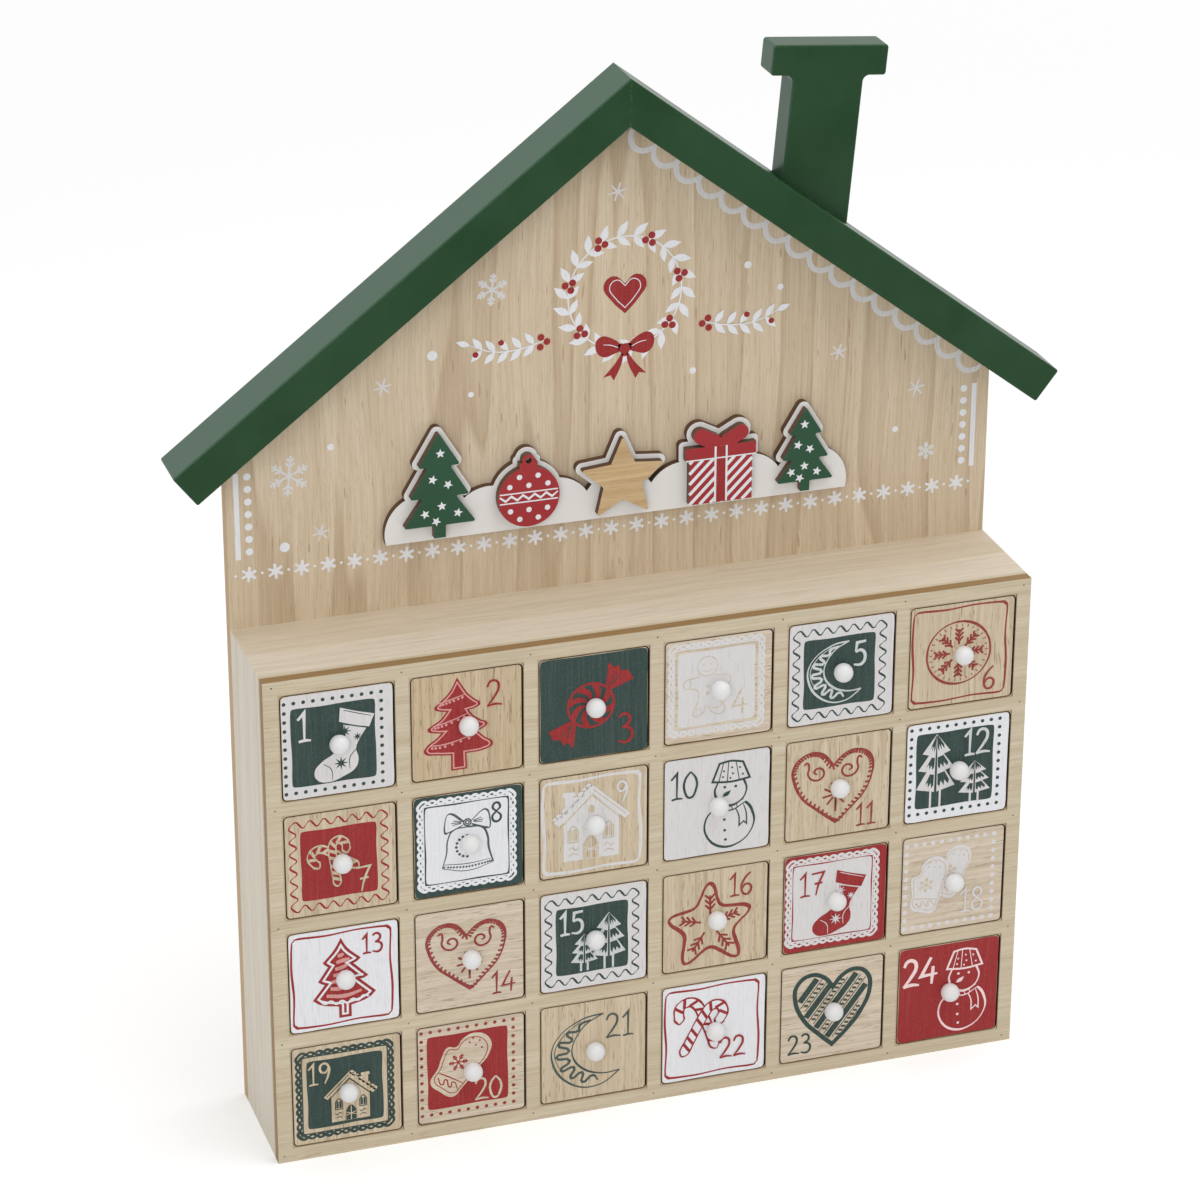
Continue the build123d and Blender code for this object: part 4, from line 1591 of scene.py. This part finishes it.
# Digits, as shares of their height: one or two strokes each
digit_shares = {
    "0": [[(0.27, 1.0), (0.07, 0.72), (0.05, 0.30), (0.25, 0.0), (0.46, 0.28), (0.47, 0.70), (0.27, 1.0)]],
    "1": [sharp((0.04, 0.76), (0.26, 1.0), (0.25, 0.02)), [(0.06, 0.0), (0.26, 0.03), (0.46, 0.01)]],
    "2": [
        [(0.04, 0.76), (0.16, 0.97), (0.38, 0.95), (0.46, 0.72), (0.32, 0.40), (0.03, 0.02)],
        [(0.03, 0.02), (0.30, 0.07), (0.58, 0.03)],
    ],
    "3": [
        [(0.06, 0.90), (0.24, 1.0), (0.42, 0.86), (0.36, 0.64), (0.18, 0.55)],
        [(0.18, 0.55), (0.42, 0.48), (0.50, 0.25), (0.34, 0.02), (0.04, 0.08)],
    ],
    "4": [sharp((0.36, 1.0), (0.02, 0.33), (0.60, 0.37)), [(0.44, 0.66), (0.42, 0.34), (0.40, 0.0)]],
    "5": [
        sharp((0.52, 0.98), (0.16, 0.95), (0.11, 0.57)),
        [(0.11, 0.57), (0.34, 0.62), (0.50, 0.36), (0.36, 0.04), (0.04, 0.05)],
    ],
    "6": [
        [
            (0.44, 1.0), (0.18, 0.72), (0.06, 0.30), (0.24, 0.01), (0.47, 0.18), (0.42, 0.43), (0.22, 0.47),
            (0.08, 0.26),
        ],
    ],
    "7": [[*sharp((0.03, 0.94), (0.54, 0.98)), (0.32, 0.46), (0.22, 0.0)], [(0.16, 0.50), (0.48, 0.53)]],
    "8": [
        [(0.27, 0.55), (0.09, 0.77), (0.27, 1.0), (0.45, 0.78), (0.27, 0.55)],
        [(0.27, 0.55), (0.06, 0.25), (0.27, 0.0), (0.49, 0.25), (0.27, 0.55)],
    ],
    "9": [[(0.44, 0.76), (0.26, 0.52), (0.06, 0.72), (0.22, 0.98), (0.44, 0.80), (0.42, 0.40), (0.26, 0.0)]],
}
digit_step_share = 0.62
one_step_share = 0.48
digit_width = 0.9
digit_widths = {1: 1.25, 3: 1.2, 5: 1.25, 12: 1.25, 15: 1.25, 24: 1.55}


def write_number(art, ink, text, x, z, height):
    """A day's number, centred on a point."""
    width = digit_widths.get(int(text), digit_width)
    steps = [one_step_share if digit == "1" else digit_step_share for digit in text]
    left = -sum(steps) / 2
    for digit, step in zip(text, steps):
        for stroke in digit_shares[digit]:
            points = []
            for share, rise, *kind in stroke:
                points.append((x + (left + share) * height, z + (rise - 0.5) * height, *kind))
            art.lines(ink, width, points)
        left += step


# One row for each day: ground, shift of the print, border, and field with its half width
grounds = (
    ("chalk", (-1.6, -0.2), (dot_border, "green"), ("green", 15.8)),
    (None, (0, 0), None, None),
    ("green", (0, 0), None, None),
    (None, (-0.9, 0.8), (rope_border, "chalk"), ("chalk", 15.2)),
    ("chalk", (-0.8, -0.2), (wave_border, "green"), ("green", 14.3)),
    (None, (-1.0, 0.3), (line_border, "faded_red"), None),
    (None, (-0.7, -0.1), (wave_border, "red"), ("red", 14.4)),
    ("green", (-0.65, 0.45), (rope_border, "white"), ("white", 15.9)),
    (None, (-0.8, 0), (broad_line_border, "chalk"), None),
    ("chalk", (0, 0), None, None),
    (None, (0, 0), None, None),
    ("white", (-1.1, 0.6), (dot_border, "green"), ("green", 15.9)),
    ("white", (-0.8, 0), (line_border, "red"), None),
    (None, (0, 0), None, None),
    ("chalk", (-0.7, -0.2), (wave_border, "green"), ("green", 14.3)),
    (None, (0, 0), None, None),
    ("red", (-1.2, 0.4), (rope_border, "chalk"), ("chalk", 16.0)),
    (None, (-1.4, -0.3), (big_dot_border, "chalk"), None),
    (None, (-0.8, 0.1), (rope_border, "green"), ("green", 14.7)),
    (None, (-1.5, 0.8), (dot_border, "faded_red"), ("red", 15.9)),
    (None, (0, 0), None, None),
    ("white", (-0.8, 0), (line_border, "red"), None),
    (None, (0, 0), None, None),
    ("red", (0, 0), None, None),
)

# One row for each day: figure with its two inks and its place, and number with its ink, middle and height
figures = (
    ((stocking, "chalk", "green"), ("chalk", -12.6, 8.0, 11.5)),
    ((garlanded_fir, "red", "pink"), ("red", 10.7, 11.0, 10.5)),
    ((sweet, "red", "green"), ("red", 12.6, -11.0, 12)),
    ((gingerbread, "bare", None), ("bare", 8.5, -7.0, 10)),
    ((moon, "frost", None), ("frost", 7.6, 6.2, 10)),
    ((biscuit, "faded_red", None), ("faded_red", 12.0, -12.0, 9.5)),
    ((canes, "bare", "red", 2.3, 1.7, 0.75, 0.61), ("bare", 8.5, -8.5, 10.5)),
    ((bell, "faded_green", None), ("green", 11.2, 10.8, 8)),
    ((cottage, "chalk", "bare"), ("chalk", 11.5, 11.6, 9)),
    ((snowman, "green", None), ("green", -12.9, 10.0, 11)),
    ((lace_heart, "faded_red", None), ("faded_red", 11.7, -13.8, 9)),
    ((big_and_small_pine, "chalk", "green"), ("frost", 8.0, 10.3, 10.5)),
    ((swagged_fir, "red", "white"), ("red", 11.3, 12.6, 8)),
    ((lace_heart, "faded_red", None, 0.6, 0.8, 0.94), ("faded_red", 13.0, -13.0, 9)),
    ((small_and_big_pine, "frost", "green"), ("frost", -8.7, 7.7, 9.5)),
    ((star, "faded_red", None), ("faded_red", 10.5, 13.0, 9.5)),
    ((stocking, "red", "chalk", -0.5, -0.5, 0.95), ("red", -9.5, 8.0, 10)),
    ((mittens, "chalk", "bare"), ("chalk", 8.6, -9.6, 10)),
    ((cottage, "bare", "green", 0.5, -3.1, 0.68, 0, -1), ("bare", -10.4, 9.0, 9)),
    ((mitten, "bare", "red"), ("bare", 7.0, -9.3, 9.5)),
    ((moon, "faded_green", None, 0.2, 0, 1.27), ("faded_green", 10.5, 9.0, 10.5)),
    ((canes, "red", "white"), ("red", 7.9, -9.2, 9)),
    ((striped_heart, "green", None), ("green", -13.0, -13.6, 8.5)),
    ((snowman, "rose", None, 1.2, -0.2), ("rose", -12.0, 10.0, 12)),
)
for day, (ground, shift, border, field), (figure, number) in zip(days, grounds, figures):
    row, column = divmod(day - 1, drawer_columns)
    bay_x = (column - (drawer_columns - 1) / 2) * bay_pitch
    bay_z = frame_middle + ((drawer_rows - 1) / 2 - row) * bay_pitch
    art = Print((bay_x, frame_low.y, bay_z))
    if ground:
        art.patch(ground, hand_square(front_half, front_round))
        art.over()
    art.at(*shift)
    if border:
        draw_border, ink = border
        draw_border(art, ink)
    if field:
        ink, half = field
        art.patch(ink, hand_square(half, field_round, field_sway))
    art.over()
    draw_figure, body, detail, *place = figure
    art.at(*place)
    draw_figure(art, body, detail)
    art.over()
    art.at()
    ink, x, z, height = number
    write_number(art, ink, str(day), x, z, height)
    inks["bare"] = (wood_of_day[day], "drawer_wood")
    art.press(f"drawer_{day:02d}_print", f"drawer_{day:02d}")

# Floor: a plain white sheet that keeps the object's soft shadow and fades into the white room.
# Its faint glow shows only to the camera, in a gloss or through a glass.
floor_size = 6.0
floor_near = 0.55
floor_far = 1.9
floor_lift = 0.24
floor_white = grey(0.92)
floor_rough = 0.9
bpy.ops.object.select_all(action="DESELECT")
bpy.ops.mesh.primitive_plane_add(size=floor_size)
floor = bpy.context.object
floor.name = "floor"
floor_finish, floor_shader = new_finish("floor_white")
floor_shader.inputs["Base Color"].default_value = floor_white
floor_shader.inputs["Roughness"].default_value = floor_rough
floor_shader.inputs["Specular IOR Level"].default_value = 0.0
floor_shader.inputs["Emission Color"].default_value = white


def seen_rays(finish):
    """1 for the rays that show the background, to the camera or in a gloss or a glass."""
    rays = add_node(finish, "LightPath").outputs
    seen = math(finish, "MAXIMUM", rays["Is Camera Ray"], rays["Is Glossy Ray"])
    return math(finish, "MAXIMUM", seen, rays["Is Transmission Ray"])


floor_glow = math(floor_finish, "MULTIPLY", seen_rays(floor_finish), floor_lift)
link(floor_finish, floor_glow, floor_shader, "Emission Strength")
away = vectors(floor_finish, "LENGTH", object_place(floor_finish), output="Value")
outward = {"Value": away, "From Min": floor_near, "From Max": floor_far, "To Min": 1.0, "To Max": 0.0}
fade = add_node(floor_finish, "MapRange", outward, interpolation_type="SMOOTHSTEP").outputs["Result"]
link(floor_finish, fade, floor_shader, "Alpha")
floor.data.materials.append(floor_finish)

# Light: a white room that fills every side, and two large soft lamps over the front.
# Each lamp has its place, its size in metres and its power in watts.
room_level = 0.55
world = bpy.data.worlds.new("room")
bpy.context.scene.world = world
world.use_nodes = True
room = world.node_tree.nodes["Background"]
room.inputs["Color"].default_value = white
link(world, spread(world, seen_rays(world), room_level, 1.0), room, "Strength")

object_middle = Vector((0, 0, 0.2))
lamps = (
    ("key_lamp", Vector((-1.2, -1.8, 1.0)), 1.2, 11.0),
    ("top_lamp", Vector((0.5, -0.3, 2.0)), 2.0, 20.0),
)
for name, place, size, power in lamps:
    lamp = bpy.data.lights.new(name, "AREA")
    lamp.shape = "DISK"
    lamp.size = size
    lamp.energy = power
    holder = bpy.data.objects.new(name, lamp)
    holder.location = place
    holder.rotation_euler = (object_middle - place).to_track_quat("-Z", "Y").to_euler()
    bpy.context.scene.collection.objects.link(holder)

# Camera: a long lens from the front left, above the object, as the photograph was taken.
# Its place, turn and lens come from a fit to the corners of the object.
camera_place = (-0.4626, -1.3653, 0.8659)
camera_azimuth = radians(-18.175)
camera_elevation = radians(24.680)
camera_roll = radians(0.098)
lens = bpy.data.cameras.new("camera")
lens.sensor_width = 36.0
lens.lens = 127.28
lens.clip_end = 50.0
camera = bpy.data.objects.new("camera", lens)
aim = Matrix.Rotation(camera_azimuth, 4, "Z") @ Matrix.Rotation(pi / 2 - camera_elevation, 4, "X")
camera.matrix_world = Matrix.Translation(camera_place) @ aim @ Matrix.Rotation(camera_roll, 4, "Z")
bpy.context.scene.collection.objects.link(camera)
bpy.context.scene.camera = camera

bpy.context.scene.view_settings.view_transform = "Standard"
